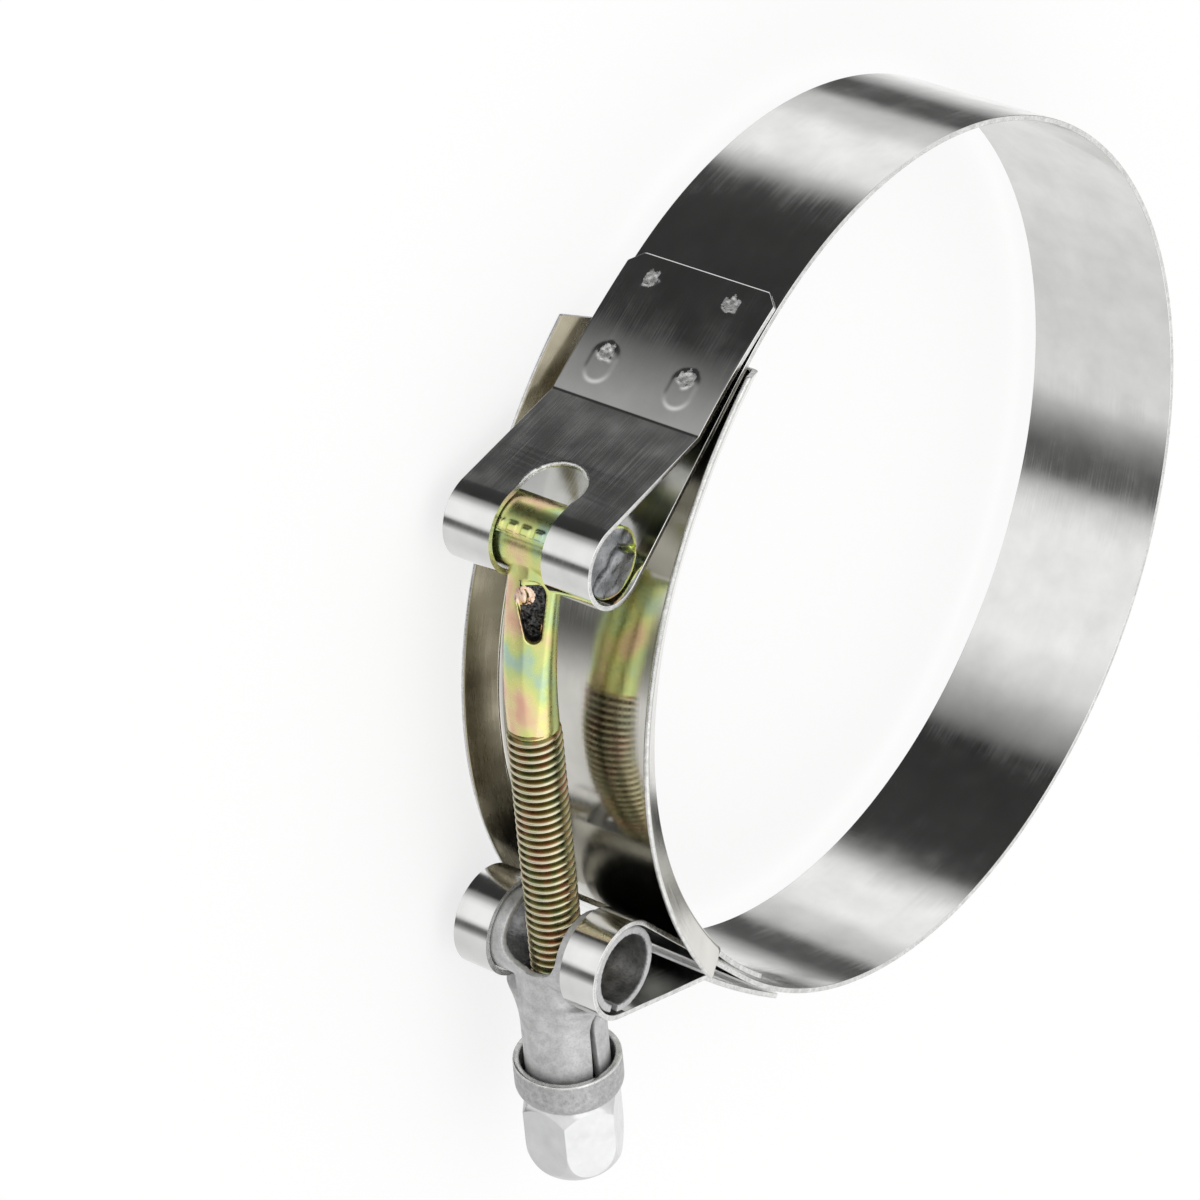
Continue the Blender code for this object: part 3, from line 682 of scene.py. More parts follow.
@dataclass(frozen=True)
class Frames:
    """Where the ring's, the head's and the cross frame stand in the row frame."""

    ring: Matrix
    head: Matrix
    cross: Matrix

    @classmethod
    def from_record(cls, record: dict) -> Frames:
        """Read the joints' places.

        Args:
            record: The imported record.

        Returns:
            The three frames, each from millimetres to metres.
        """
        joints = {joint["name"]: joint for joint in record["behaviour"]["joints"]}
        along = -Vector(joints["nut_travel"]["axis"])
        tilt = Matrix.Rotation(math.atan2(along.y, along.x), 4, "Z")
        scale = Matrix.Scale(MM, 4)
        ring, head, cross = (Matrix.Translation(joints[name]["pos_m"]) for name in
                             ("band_closing", "bolt_pivot", "trunnion_pivot"))
        return cls(ring @ scale, head @ tilt @ scale, cross @ tilt @ scale)


@dataclass(frozen=True)
class StripSizes:
    """Sizes of the band's strip in millimetres, as in the CAD model."""

    width: float = 19.0
    thickness: float = 0.6
    inner_radius: float = 50.0
    loop_spacing: float = 49.2
    loop_standoff: float = 9.65
    fold_spread: float = 13.1
    fold_rise: float = 1.75
    fold_radius: float = 1.2
    plate_length: float = 17.5
    corner_cut: float = 1.6
    plate_gap: float = 0.15
    slot_end: float = 38.0
    edge_round: float = 0.09
    end_roll: float = 0.35
    plate_step: float = 0.075
    leg_step: float = 0.8

    @property
    def middle(self) -> float:
        """Radius of the ring's middle line."""
        return self.inner_radius + self.thickness / 2

    @property
    def plate(self) -> float:
        """Radius of the folded plates' middle line."""
        return self.middle + self.thickness + self.plate_gap

    @property
    def fold_reach(self) -> float:
        """How far the fold lies from the ring's axis."""
        return self.plate + self.fold_rise

    @property
    def loop_reach(self) -> float:
        """How far the loops' axes lie from the ring's axis."""
        return self.inner_radius + self.thickness + self.loop_standoff

    @property
    def loop_angle(self) -> float:
        """Angle of a loop's axis from -Y in radians."""
        return math.asin(self.loop_spacing / 2 / self.loop_reach)

    @property
    def fold_angle(self) -> float:
        """Angle of the fold in degrees."""
        return math.degrees(self.loop_angle + self.fold_spread / self.plate)

    @property
    def plate_end(self) -> float:
        """Angle of the plate's cut end in degrees."""
        return self.fold_angle + math.degrees(self.plate_length / self.plate)


@dataclass
class Lug:
    """One folded end of the strip, worked out on the +X side."""

    sizes: StripSizes
    side: int
    bore: float
    slot_top: float
    slot_width: float
    loop: Vector = field(init=False)
    fold: Vector = field(init=False)

    def __post_init__(self) -> None:
        """Work out the loop's and fold's tangents."""
        s = self.sizes
        self.radius = self.bore / 2 + s.thickness / 2
        self.loop = Vector((s.loop_spacing / 2, -s.loop_reach * math.cos(s.loop_angle)))
        lean = math.acos((s.middle + self.radius) / s.loop_reach)
        self.leave_angle = math.degrees(s.loop_angle + lean)
        self.outward = polar(1.0, self.leave_angle)
        self.leave = self.outward * s.middle
        self.inner_touch = self.loop - self.outward * self.radius
        self.fold = polar(s.fold_reach, s.fold_angle)
        to_loop = self.loop - self.fold
        lean = math.asin(self.radius / to_loop.length)
        self.leg = turned(to_loop.normalized(), lean)
        self.outer_touch = self.fold + self.leg * to_loop.length * math.cos(lean)
        outward = polar(1.0, s.plate_end)
        run = self.fold - outward * s.plate
        self.plate_bend = -run.length_squared / (2 * run.dot(outward))
        self.plate_middle = outward * (s.plate - self.plate_bend)
        to_fold = self.fold - self.plate_middle
        self.plate_last = math.degrees(math.atan2(to_fold.x, -to_fold.y))

    def mirrored(self, point: Vector) -> Vector:
        """A point brought to this lug's own side."""
        return Vector((point.x * self.side, point.y))

    def middle_line(self) -> Ring:
        """The strip's middle line from its cut end to the ring.

        Returns:
            The points in order.
        """
        s = self.sizes
        points = arc(self.plate_middle, self.plate_bend, s.plate_end - 90.0,
                     self.plate_last - 90.0, s.plate_step)
        corner = rounded_corner(points[-2], points[-1], self.outer_touch, s.fold_radius)
        while (points[-1] - corner[0]).dot(points[-1] - points[-2]) > 0:
            points.pop()
        points += corner + straight(corner[-1], self.outer_touch, s.leg_step)
        points = [points[0].lerp(points[3], i / 12) for i in range(12)] + points[3:]
        start = math.degrees(math.atan2(*reversed(self.outer_touch - self.loop)))
        end = math.degrees(math.atan2(*reversed(self.inner_touch - self.loop))) - 360.0
        points += arc(self.loop, self.radius, start, end, 3.0)
        points += straight(self.inner_touch, self.leave, s.leg_step) + [self.leave]
        return [self.mirrored(p) for p in points]

    def on_plate(self, point: Vector) -> tuple[float, float, Vector]:
        """Where a point of the strip lies on the folded plate.

        Args:
            point: A point in the ring's frame.

        Returns:
            Its distance from the plate's cut end, its height over the plate's middle line and
            the plate's outward direction there.
        """
        spoke = self.mirrored(point.xy) - self.plate_middle
        angle = math.atan2(spoke.x, -spoke.y)
        from_end = (math.radians(self.sizes.plate_end) - angle) * self.plate_bend
        outward = self.mirrored(spoke.normalized())
        return from_end, spoke.length - self.plate_bend, outward

    def slot_outline(self) -> tuple[Ring, Vector, Vector]:
        """The part of the loop's plane that the slot takes away.

        Returns:
            The outline, the middle of the slot's round end, and the leg's wall direction.
        """
        s = self.sizes
        far, inside = self.radius + 3 * s.thickness, self.radius - 2 * s.thickness
        wall = turned(self.leg, math.pi / 2)
        arch = self.fold + self.leg * (self.slot_top + self.slot_width / 2)
        reach = far - self.radius
        leg_angle = math.degrees(math.atan2(wall.y, wall.x))
        last = -180.0 - s.slot_end
        outline = [arch + wall * reach]
        outline += arc(self.loop, far, leg_angle, last, 6.0)
        outline += arc(self.loop, inside, last, leg_angle, 6.0)
        outline.append(arch - wall * reach)
        return [self.mirrored(p) for p in outline], self.mirrored(arch), self.mirrored(wall)


@dataclass
class Band:
    """The strip: ring, loops, folded plates and the weld marks on them."""

    frames: Frames
    finishes: Finishes
    sizes: StripSizes = field(default_factory=StripSizes)
    blend_reach: float = 19.0
    weld_rows: tuple[float, float] = (2.8, 12.2)
    weld_spread: float = 10.4
    weld_shift: float = -0.4
    weld_reach: float = 16.5
    weld_cuts: int = 112
    nugget_radius: float = 0.95
    nugget_rim: float = 0.055
    nugget_dip: float = 0.05
    nugget_grain: float = 0.05
    oval_length: float = 4.6
    oval_width: float = 3.2
    oval_height: float = 0.045
    oval_shift: float = 1.3
    rim_width: float = 0.32
    rim_depth: float = 0.3

    def __post_init__(self) -> None:
        """Set out both lugs."""
        self.upper = Lug(self.sizes, -1, 8.5, 9.0, 6.8)
        self.lower = Lug(self.sizes, 1, 10.1, 4.8, 10.0)

    def line(self) -> tuple[Ring, list[float]]:
        """The whole middle line and each point's distance along it.

        Returns:
            The points in order, and their distances from the lower plate's cut end.
        """
        s = self.sizes
        lower, upper = self.lower.middle_line(), self.upper.middle_line()
        ring = arc(Vector((0, 0)), s.middle, self.lower.leave_angle - 90.0,
                   270.0 - self.upper.leave_angle, 1.0)
        points = lower[:-1] + ring + upper[-2::-1]
        lengths = [0.0]
        for before, after in zip(points, points[1:]):
            lengths.append(lengths[-1] + (after - before).length)
        return points, lengths

    def section(self, from_end: float) -> list[tuple[float, float]]:
        """The strip's rounded section.

        Args:
            from_end: Distance from the nearer cut end, where the corners are cut off and the
                shear rolled the outer edge over.

        Returns:
            Pairs of offset and z.
        """
        s = self.sizes
        t, r = s.thickness / 2, s.edge_round
        half = s.width / 2 - max(0.0, s.corner_cut - from_end)
        near = max(0.0, 1 - from_end / s.end_roll)
        drop = s.end_roll * (1 - math.sqrt(1 - near * near))
        corners = ((t - r, half - r, 0.0), (-t + r, half - r, 90.0),
                   (-t + r, -half + r, 180.0), (t - r, -half + r, 270.0))
        pairs = []
        for x, z, start in corners:
            for p in arc(Vector((x, z)), r, start, start + 90.0, 30.0):
                pairs.append((p.x + drop if p.x < 0 else p.x, p.y))
        return pairs

    def build(self) -> bpy.types.Object:
        """Make the whole strip with its slots, sheared edges and weld marks.

        Returns:
            The finished piece.
        """
        points, lengths = self.line()

        def shape(bm: bmesh.types.BMesh) -> None:
            """Carry the strip's section along its middle line.

            Args:
                bm: The mesh to add to.
            """
            layer = bm.loops.layers.uv.new("strip")
            rows, sections = [], []
            for i, point in enumerate(points):
                before, after = points[max(i - 1, 0)], points[min(i + 1, len(points) - 1)]
                arrive = (point - before) if i else (after - point)
                leave = (after - point) if i < len(points) - 1 else arrive
                normal = turned((arrive.normalized() + leave.normalized()).normalized(),
                                -math.pi / 2)
                miter = 1 / math.cos(arrive.angle(leave) / 2)
                section = self.section(min(lengths[i], lengths[-1] - lengths[i]))
                sections.append(section)
                rows.append([bm.verts.new((*(point + normal * offset * miter), z))
                             for offset, z in section])
            count = len(rows[0])
            for k, (low, high) in enumerate(zip(rows, rows[1:])):
                for i in range(count):
                    j = (i + 1) % count
                    face = bm.faces.new((low[i], low[j], high[j], high[i]))
                    edge = abs(sections[k][i][1] - sections[k][j][1]) < 1e-6
                    face.material_index = 1 if edge else 0
                    for loop, (row, column) in zip(face.loops, ((k, i), (k, j), (k + 1, j),
                                                                (k + 1, i))):
                        loop[layer].uv = (lengths[row] * STRIP_UV,
                                          sections[row][column][1] * STRIP_UV)
            for row in (rows[0], rows[-1]):
                bm.faces.new(row).material_index = 1

        band = new_object("band_strip", shape,
                          (self.finishes.strip, self.finishes.edge, self.finishes.weld))
        for lug in (self.upper, self.lower):
            self.cut_slot(band, lug)
        soften_edges(band, DEBURR)
        self.mark_edges(band)
        self.press_welds(band)
        settle(band, self.frames.ring, 50.0, flatten=True)
        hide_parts("band")
        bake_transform(band)
        return band

    def cut_slot(self, band: bpy.types.Object, lug: Lug) -> None:
        """Cut the slot that the bolt or the neck passes through.

        Args:
            band: The strip's object.
            lug: The lug whose slot it is.
        """
        outline, arch, wall = lug.slot_outline()
        half = lug.slot_width / 2
        side = [self.finishes.edge]
        combine(band, new_object("slot", lambda bm: prism(bm, outline, -half, half), side),
                "DIFFERENCE")
        reach = wall * (3 * self.sizes.thickness)
        start, end = Vector((*(arch - reach), 0)), Vector((*(arch + reach), 0))
        combine(band, new_object("slot_end", lambda bm: rod(bm, start, end, half), side),
                "DIFFERENCE")
        combine(band, new_object("slot_rim", lambda bm: self.rim(bm, arch, wall, half), side),
                "DIFFERENCE")

    def rim(self, bm: bmesh.types.BMesh, arch: Vector, wall: Vector, half: float) -> None:
        """The cutter for the rolled rim round the slot's arch, on the leg's outer face.

        Args:
            bm: The mesh to add to.
            arch: The middle of the slot's round end.
            wall: The leg's wall direction.
            half: Half the slot's width.
        """
        away = wall if wall.dot(arch) > 0 else -wall
        low = arch + away * (self.sizes.thickness / 2 - self.rim_depth)
        height = 2 * self.rim_depth
        middle = Vector((*(low + away * height / 2), 0))
        turn = Vector((*away, 0)).to_track_quat("Z", "X").to_matrix().to_4x4()
        bmesh.ops.create_cone(bm, cap_ends=True, segments=96, radius1=half - 0.02,
                              radius2=half + 2 * self.rim_width, depth=height,
                              matrix=Matrix.Translation(middle) @ turn)

    def mark_edges(self, band: bpy.types.Object) -> None:
        """Give the strip's narrow faces the sheared finish.

        Args:
            band: The strip's object.
        """
        for face in band.data.polygons:
            if abs(face.normal.z) > 0.8:
                face.material_index = 1

    def press_welds(self, band: bpy.types.Object) -> None:
        """Grid the folded plates' outer faces and raise the weld marks out of them.

        Args:
            band: The strip's object.
        """
        bm = bmesh.new()
        bm.from_mesh(band.data)
        half = self.sizes.thickness / 2
        for lug in (self.upper, self.lower):
            across = set()
            for face in bm.faces:
                from_end, height, outward = lug.on_plate(face.calc_center_median())
                if (0 < from_end < self.weld_reach and abs(height - half) < 0.05
                        and face.normal.xy.dot(outward) > 0.9):
                    across.update(edge for edge in face.edges if abs(
                        edge.verts[0].co.z - edge.verts[1].co.z) > self.sizes.width / 2)
            bmesh.ops.subdivide_edges(bm, edges=list(across), cuts=self.weld_cuts)
            for vert in bm.verts:
                from_end, height, outward = lug.on_plate(vert.co)
                if 0 < from_end < self.weld_reach and abs(height - half) < 0.01:
                    rise = sum(self.weld_height(*mark) for mark in self.marks_at(
                        lug, from_end, vert.co.z))
                    vert.co.xy += outward * rise
            for face in bm.faces:
                centre = face.calc_center_median()
                from_end, height, _ = lug.on_plate(centre)
                if 0 < from_end < self.weld_reach and height > half - 0.15:
                    near = min(math.hypot(along - 0.1 * math.sin(9 * across), across)
                               for along, across, _, _ in self.marks_at(lug, from_end, centre.z))
                    if near < self.nugget_radius + 0.2 * math.sin(7 * centre.z):
                        face.material_index = 2
        bm.to_mesh(band.data)
        bm.free()

    def marks_at(self, lug: Lug, from_end: float,
                 z: float) -> list[tuple[float, float, bool, float]]:
        """Every weld mark's view of one place on a plate.

        Args:
            lug: The lug whose plate it is.
            from_end: Distance from the plate's cut end.
            z: Place across the strip.

        Returns:
            For each mark, the distance towards the fold and to the side, whether it has an oval,
            and its seed.
        """
        marks = []
        for row, place in enumerate(self.weld_rows):
            for side in (1, -1):
                across = z - side * self.weld_spread / 2 - self.weld_shift
                seed = 1.9 * row + 0.8 * side + 2.3 * lug.side
                marks.append((from_end - place, across, row == 1 and lug.side < 0, seed))
        return marks

    def weld_height(self, along: float, across: float, with_oval: bool, seed: float) -> float:
        """How far a weld mark rises from the plate.

        Args:
            along: Distance from the nugget towards the fold.
            across: Distance to the side.
            with_oval: Whether a pressed oval lies beside the nugget.
            seed: Makes each mark its own.

        Returns:
            The height in millimetres.
        """
        reach = math.hypot(along, across)
        if reach > 2.2 * self.oval_length:
            return 0.0
        turn = math.atan2(across, along)
        wobble = 1 + 0.14 * math.sin(3 * turn + seed) + 0.08 * math.sin(5 * turn + 2.3 * seed)
        edge = reach / (self.nugget_radius * wobble)
        height = self.nugget_rim * math.exp(-((edge - 0.85) / 0.2) ** 2)
        height -= self.nugget_dip * math.exp(-(edge / 0.6) ** 2)
        height += self.nugget_grain * math.exp(-(edge / 0.95) ** 4) * math.sin(
            6.3 * along + seed) * math.cos(5.6 * across + 1.7 * seed)
        if with_oval:
            half_run = (self.oval_length - self.oval_width) / 2
            run = max(abs(along - self.oval_shift) - half_run, 0.0)
            away = math.hypot(run, across) / (self.oval_width / 2)
            share = min(max((1.15 - away) / 0.35, 0.0), 1.0)
            height += self.oval_height * share * share * (3 - 2 * share)
        return height


@dataclass
class BridgePlate:
    """The channel that bridges the ring's gap, with flared lips and a tongue at each end."""

    frames: Frames
    finishes: Finishes
    band: Band
    thickness: float = 0.6
    gap: float = 0.3
    overlap: float = 5.0
    lip_overlap: float = 1.2
    lip_short: float = 1.0
    side_gap: float = 0.1
    bend_radius: float = 0.55
    lean: float = 29.0
    height: float = 3.98
    slant: float = 2.6
    slant_from: float = 1.3
    tongue_margin: float = 0.6
    spring: float = 1.2

    def section(self) -> Ring:
        """The channel's outline as (z, radius) pairs.

        Returns:
            The outline's points in order.
        """
        outer, inner = [], []
        half_width = self.band.sizes.width / 2 + self.side_gap
        bend = Vector((half_width, self.outer_radius + self.bend_radius))
        sweep = 90.0 - self.lean
        for way in arc(Vector((0, 0)), 1.0, -90.0, sweep - 90.0, 8.0):
            outer.append(bend + way * (self.bend_radius + self.thickness))
            inner.append(bend + way * self.bend_radius)
        tip = (outer[-1] + inner[-1]) / 2 + self.lip * (self.height - self.thickness / 2)
        start = math.degrees(math.atan2(*reversed(outer[-1] - inner[-1])))
        tip_round = arc(tip, self.thickness / 2, start, start + 180.0, 36.0)
        half = outer + tip_round + inner[::-1]
        mirror = [Vector((-p.x, p.y)) for p in half]
        return half[::-1] + mirror

    @property
    def lip(self) -> Vector:
        """The way a lip points, as a (z, radius) pair."""
        lean = math.radians(self.lean)
        return Vector((math.sin(lean), math.cos(lean)))

    @property
    def outer_radius(self) -> float:
        """Radius of the floor's outer face at its ends."""
        return self.band.sizes.inner_radius - self.gap

    def bulge(self, degrees: float) -> float:
        """How far the plate springs outwards between the lugs, where nothing holds it."""
        share = min(abs(degrees) / self.band.upper.leave_angle, 1.0)
        return self.spring * math.cos(share * math.pi / 2) ** 2

    def sweep(self, bm: bmesh.types.BMesh, section: Ring, start: float, end: float,
              slant: float = 0.0) -> None:
        """Carry a (z, radius) section round the ring's axis.

        Args:
            bm: The mesh to add to.
            section: The outline.
            start: First angle in degrees.
            end: Last angle in degrees.
            slant: How far the highest points run ahead of the lowest, in millimetres.
        """
        layer = bm.loops.layers.uv.new("strip")
        low = min(p.y for p in section)
        lean = math.degrees(slant / self.outer_radius) / self.height
        count = max(2, math.ceil((end - start) / 1.5))
        rings = []
        for i in range(count + 1):
            ring = []
            for point in section:
                angle = start + (end - start) * i / count
                angle += lean * max(point.y - low - self.slant_from, 0.0)
                ring.append(Vector((*polar(point.y + self.bulge(angle), angle), point.x)))
            rings.append(ring)
        loft(bm, rings)
        around = self.band.sizes.inner_radius * STRIP_UV
        for face in bm.faces:
            for loop in face.loops:
                co = loop.vert.co
                turn = math.atan2(co.x, -co.y)
                loop[layer].uv = (turn * around, co.z * STRIP_UV)

    def mark_edges(self, plate: bpy.types.Object) -> None:
        """Give the lips' rims the sheared finish and their inner faces a duller finish with painted
        shade.

        Args:
            plate: The bridge plate's object.
        """
        for face in plate.data.polygons:
            radial = face.center.xy.normalized()
            along = self.lip.x * math.copysign(1.0, face.center.z) * face.normal.z
            along += self.lip.y * face.normal.xy.dot(radial)
            inwards = -math.copysign(1.0, face.center.z) * face.normal.z
            if abs(face.center.z) > self.band.sizes.width / 2 + 0.6:
                # Slot 2 paints shade onto the lips' inner faces, which face the band.
                face.material_index = 1 if along > 0.55 else 2 if inwards > 0.5 else 0

    def build(self) -> bpy.types.Object:
        """Make the bridge plate.

        Returns:
            The finished piece.
        """
        upper, lower = self.band.upper.leave_angle, self.band.lower.leave_angle
        beyond = math.degrees(self.overlap / self.outer_radius)
        lip_beyond = math.degrees(self.lip_overlap / self.outer_radius)
        lip_short = math.degrees(self.lip_short / self.outer_radius)
        ends = (-upper - beyond, lower + beyond)
        lips = (-upper - lip_beyond, self.band.sizes.fold_angle - lip_short)
        section = self.section()
        plate = new_object("bridge_channel", lambda bm: self.sweep(bm, section, *ends),
                           (self.finishes.bridge, self.finishes.edge, self.finishes.lip))
        self.mark_edges(plate)
        low_r, high_r = self.outer_radius - 2 * self.thickness, max(p.y for p in section) + 1
        low_z, high_z = self.band.sizes.width / 2 - self.tongue_margin, max(
            p.x for p in section) + 1
        for start, end, slant in ((ends[0] - 8, lips[0], self.slant),
                                  (lips[1], ends[1] + 8, -self.slant)):
            for side in (1, -1):
                corners = [Vector((side * z, r)) for z, r in (
                    (low_z, low_r), (high_z, low_r), (high_z, high_r), (low_z, high_r))]
                tool = new_object("lip_end",
                                  lambda bm: self.sweep(bm, corners, start, end, slant),
                                  (self.finishes.edge,))
                combine(plate, tool, "DIFFERENCE")
        soften_edges(plate, DEBURR)
        settle(plate, self.frames.ring, 50.0, flatten=True)
        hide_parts("bridge_plate")
        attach(plate, "lower_end")
        return plate


@dataclass
class TBolt:
    """The T-bolt: rolled barrel head, cranked shank with a pressed notch, and a rolled thread."""

    frames: Frames
    finishes: Finishes
    thread_radius: float = 2.95
    root_radius: float = 2.42
    pitch: float = 1.0
    thread_start: float = 20.3
    length: float = 78.294
    offset: float = 4.5
    crank_length: float = 19.0
    crank_start: float = 0.22
    shank_radius: float = 2.72
    half_width: float = 3.1
    half_depth: float = 2.25
    barrel_radius: float = 4.05
    half_barrel: float = 9.2
    seam_angle: float = -118.0
    seam_step: float = 0.5
    tooth_depth: float = 0.26
    tooth_pitch: float = 1.75
    end_seam_depth: float = 0.9
    notch_start: float = 2.7
    notch_length: float = 6.8
    notch_width: float = 3.3
    notch_tip: float = 1.8
    notch_depth: float = 1.9
    notch_turn: float = 35.0
    front_depth: float = 2.15
    lump_side: float = 0.95
    lump_run: float = 1.9
    lump_sink: float = 1.6
    lump_radius: float = 0.8
    lump_stretch: tuple[float, float, float] = (1.3, 0.62, 0.7)
    thread_steps: int = 12
    thread_sides: int = 60
    voxel: float = 0.13

    @property
    def front(self) -> Vector:
        """The way the shank's pressed front faces, as a (y, z) pair."""
        way = math.radians(self.notch_turn)
        return Vector((-math.cos(way), math.sin(way)))

    def crank(self, x: float) -> float:
        """How far the shank's middle lies outside the barrel's axis."""
        share = min(max(x / self.crank_length, 0.0), 1.0)
        bend = (1 - self.crank_start) * math.sin(share * math.pi / 2)
        return -self.offset * (self.crank_start + bend)

    def shank(self, bm: bmesh.types.BMesh) -> None:
        """The shank from inside the barrel to just inside the thread.

        Args:
            bm: The mesh to add to.
        """
        rings = []
        end = self.thread_start + 0.6
        for i in range(33):
            x = end * i / 32
            flat = 1.0 - min(max((x - self.notch_start) / (end - self.notch_start), 0.0), 1.0)
            depth = self.shank_radius + (self.half_depth - self.shank_radius) * flat
            width = self.shank_radius + (self.half_width - self.shank_radius) * math.sqrt(flat)
            limit = self.front_depth + (1.0 - flat) * (self.shank_radius - self.front_depth)
            ring = []
            for k in range(64):
                turn = 2 * math.pi * k / 64
                spoke = Vector((depth * math.cos(turn), width * math.sin(turn)))
                beyond = max(spoke.dot(self.front) - limit, 0.0)
                spoke -= self.front * beyond * 0.85
                ring.append(Vector((x, self.crank(x) + spoke.x, spoke.y)))
            rings.append(ring)
        loft(bm, rings)

    def barrel(self, bm: bmesh.types.BMesh) -> None:
        """The rolled head, whose sheet edge leaves a small step.

        Args:
            bm: The mesh to add to.
        """
        outline = []
        for i in range(96):
            share = i / 95
            turn = math.radians(self.seam_angle) + 2 * math.pi * share * (1 - 1 / 400)
            size = self.barrel_radius - self.seam_step * (1 - share) ** 3
            outline.append(Vector((size * math.cos(turn), size * math.sin(turn))))
        prism(bm, outline, -self.half_barrel, self.half_barrel)

    def notch(self, bm: bmesh.types.BMesh) -> None:
        """The cutter for the long tapered mark in the shank's front.

        Args:
            bm: The mesh to add to.
        """
        wide, narrow = self.notch_width / 2, self.notch_tip / 2
        run = self.notch_length - wide - narrow
        outline = arc(Vector((self.notch_start + wide, 0)), wide, 90.0, 270.0, 15.0)
        outline += arc(Vector((self.notch_start + wide + run, 0)), narrow, -90.0, 90.0, 15.0)
        prism(bm, outline, -self.notch_depth, self.notch_depth)
        middle = self.crank(self.notch_start + self.notch_length / 2)
        bm.transform(Matrix.Translation((0, middle, 0))
                     @ Matrix.Rotation(math.radians(90.0 - self.notch_turn), 4, "X")
                     @ Matrix.Translation((0, 0, self.half_width)))

    def lump(self, bm: bmesh.types.BMesh) -> None:
        """A bead of metal that the punch left in the notch's upper corner."""
        bmesh.ops.create_icosphere(bm, subdivisions=4, radius=self.lump_radius)
        bm.transform(self.lump_place @ Matrix.Diagonal((*self.lump_stretch, 1.0)))

    @property
    def lump_place(self) -> Matrix:
        """Where the bead sits, its Z pointing out of the notch."""
        x = self.notch_start + self.lump_run
        return (Matrix.Translation((x, self.crank(x), 0))
                @ Matrix.Rotation(math.radians(90.0 - self.notch_turn), 4, "X")
                @ Matrix.Translation((0, -self.lump_side, self.half_width - self.lump_sink)))

    def form(self, points: np.ndarray) -> np.ndarray:
        """Press the tooth row into the barrel and the seam into its ends.

        Args:
            points: An array of points in the piece's frame, in millimetres.

        Returns:
            The points' new places.
        """
        x, y, z = points.T
        reach = np.hypot(x, y)
        turn = np.degrees(np.arctan2(y, x))
        on_barrel = smooth_step(reach, self.barrel_radius - 0.7, self.barrel_radius - 0.4)
        on_barrel *= (np.abs(x) < 4.4) & (np.abs(z) < self.half_barrel)
        row = np.exp(-((turn - (self.seam_angle - 12)) / 8.5) ** 4)
        teeth = 0.5 + 0.5 * np.tanh(3.0 * (np.sin(z * 2 * math.pi / self.tooth_pitch + 0.6) + 0.35))
        groove = np.exp(-((turn - (self.seam_angle - 2.0)) / 2.2) ** 2)
        inside_slot = 1 - smooth_step(np.abs(z), 2.9, 3.4)
        press = on_barrel * inside_slot * (
            self.tooth_depth * row * teeth - self.tooth_depth * groove)
        scale = 1 + press / np.maximum(reach, 0.5)
        points[:, 0] *= scale
        points[:, 1] *= scale
        cap = smooth_step(np.abs(z), self.half_barrel - 0.35, self.half_barrel - 0.15)
        bend = (x + 1.0) - 0.16 * (y - 1.0) ** 2 + 0.25 * np.sin(1.6 * y)
        seam = self.end_seam_depth * np.exp(-(bend / 0.32) ** 2)
        dome = 0.07 * reach ** 2 * (reach < 4.3)
        rough = 0.10 * ripple(points, 1.9, 0.4)
        points[:, 2] -= np.sign(z) * cap * (seam + 0.35 * dome + np.maximum(rough, -0.1) + 0.1)
        return points

    def in_notch(self, points: np.ndarray, highest: float) -> np.ndarray:
        """Which points lie on the notch's floor and walls.

        Args:
            points: An array of points in the head's frame.
            highest: How far out along the front the walls still count.

        Returns:
            An array of truth values.
        """
        x, y, z = points.T
        shift = y - np.array([self.crank(v) for v in x])
        facing = shift * self.front.x + z * self.front.y
        across = shift * self.front.y - z * self.front.x
        wide, narrow = self.notch_width / 2, self.notch_tip / 2
        run = self.notch_length - wide - narrow
        share = np.clip((x - self.notch_start - wide) / run, 0.0, 1.0)
        half = wide + (narrow - wide) * share
        within = (x > self.notch_start + 0.1) & (x < self.notch_start + self.notch_length)
        return (within & (across > 0.15 - half) & (across < half + 0.1)
                & (facing > 0) & (facing < highest))

    def pit(self, points: np.ndarray) -> np.ndarray:
        """Roughen the notch's floor and walls.

        Args:
            points: An array of points in the piece's frame, in millimetres.

        Returns:
            The points' new places.
        """
        low = self.in_notch(points, 1.45)
        rough = 0.16 * ripple(points, 1.1, 2.1) + 0.08 * ripple(points, 0.5, 0.9)
        points[:, 1] += np.where(low, rough * self.front.x, 0.0)
        points[:, 2] += np.where(low, rough * self.front.y, 0.0)
        return points

    def thread(self, bm: bmesh.types.BMesh) -> None:
        """A true helix with rounded crests, run out at its start and pointed at its end.

        Args:
            bm: The mesh to add to.
        """
        steps, sides = self.thread_steps, self.thread_sides
        start, end = self.thread_start - 0.4, self.length
        count = round((end - start) / self.pitch * steps)
        rings = []
        for i in range(count + 1):
            x = start + (end - start) * i / count
            grow = min((x - start) / 1.6, 1.0)
            tip = max(0.0, x - (end - 0.7))
            ring = []
            for k in range(sides):
                turn = 2 * math.pi * k / sides
                phase = (x / self.pitch - k / sides) % 1.0
                wave = abs(2 * phase - 1.0)
                crest = 0.5 - 0.5 * math.cos(math.pi * min(wave * 1.12, 1.0))
                crown = self.root_radius + (self.thread_radius - self.root_radius) * crest
                plain = self.shank_radius - 0.05
                size = plain + (crown - plain) * grow
                size = min(size, self.thread_radius - tip)
                ring.append(Vector((x, -self.offset + size * math.cos(turn),
                                    size * math.sin(turn))))
            rings.append(ring)
        loft(bm, rings)

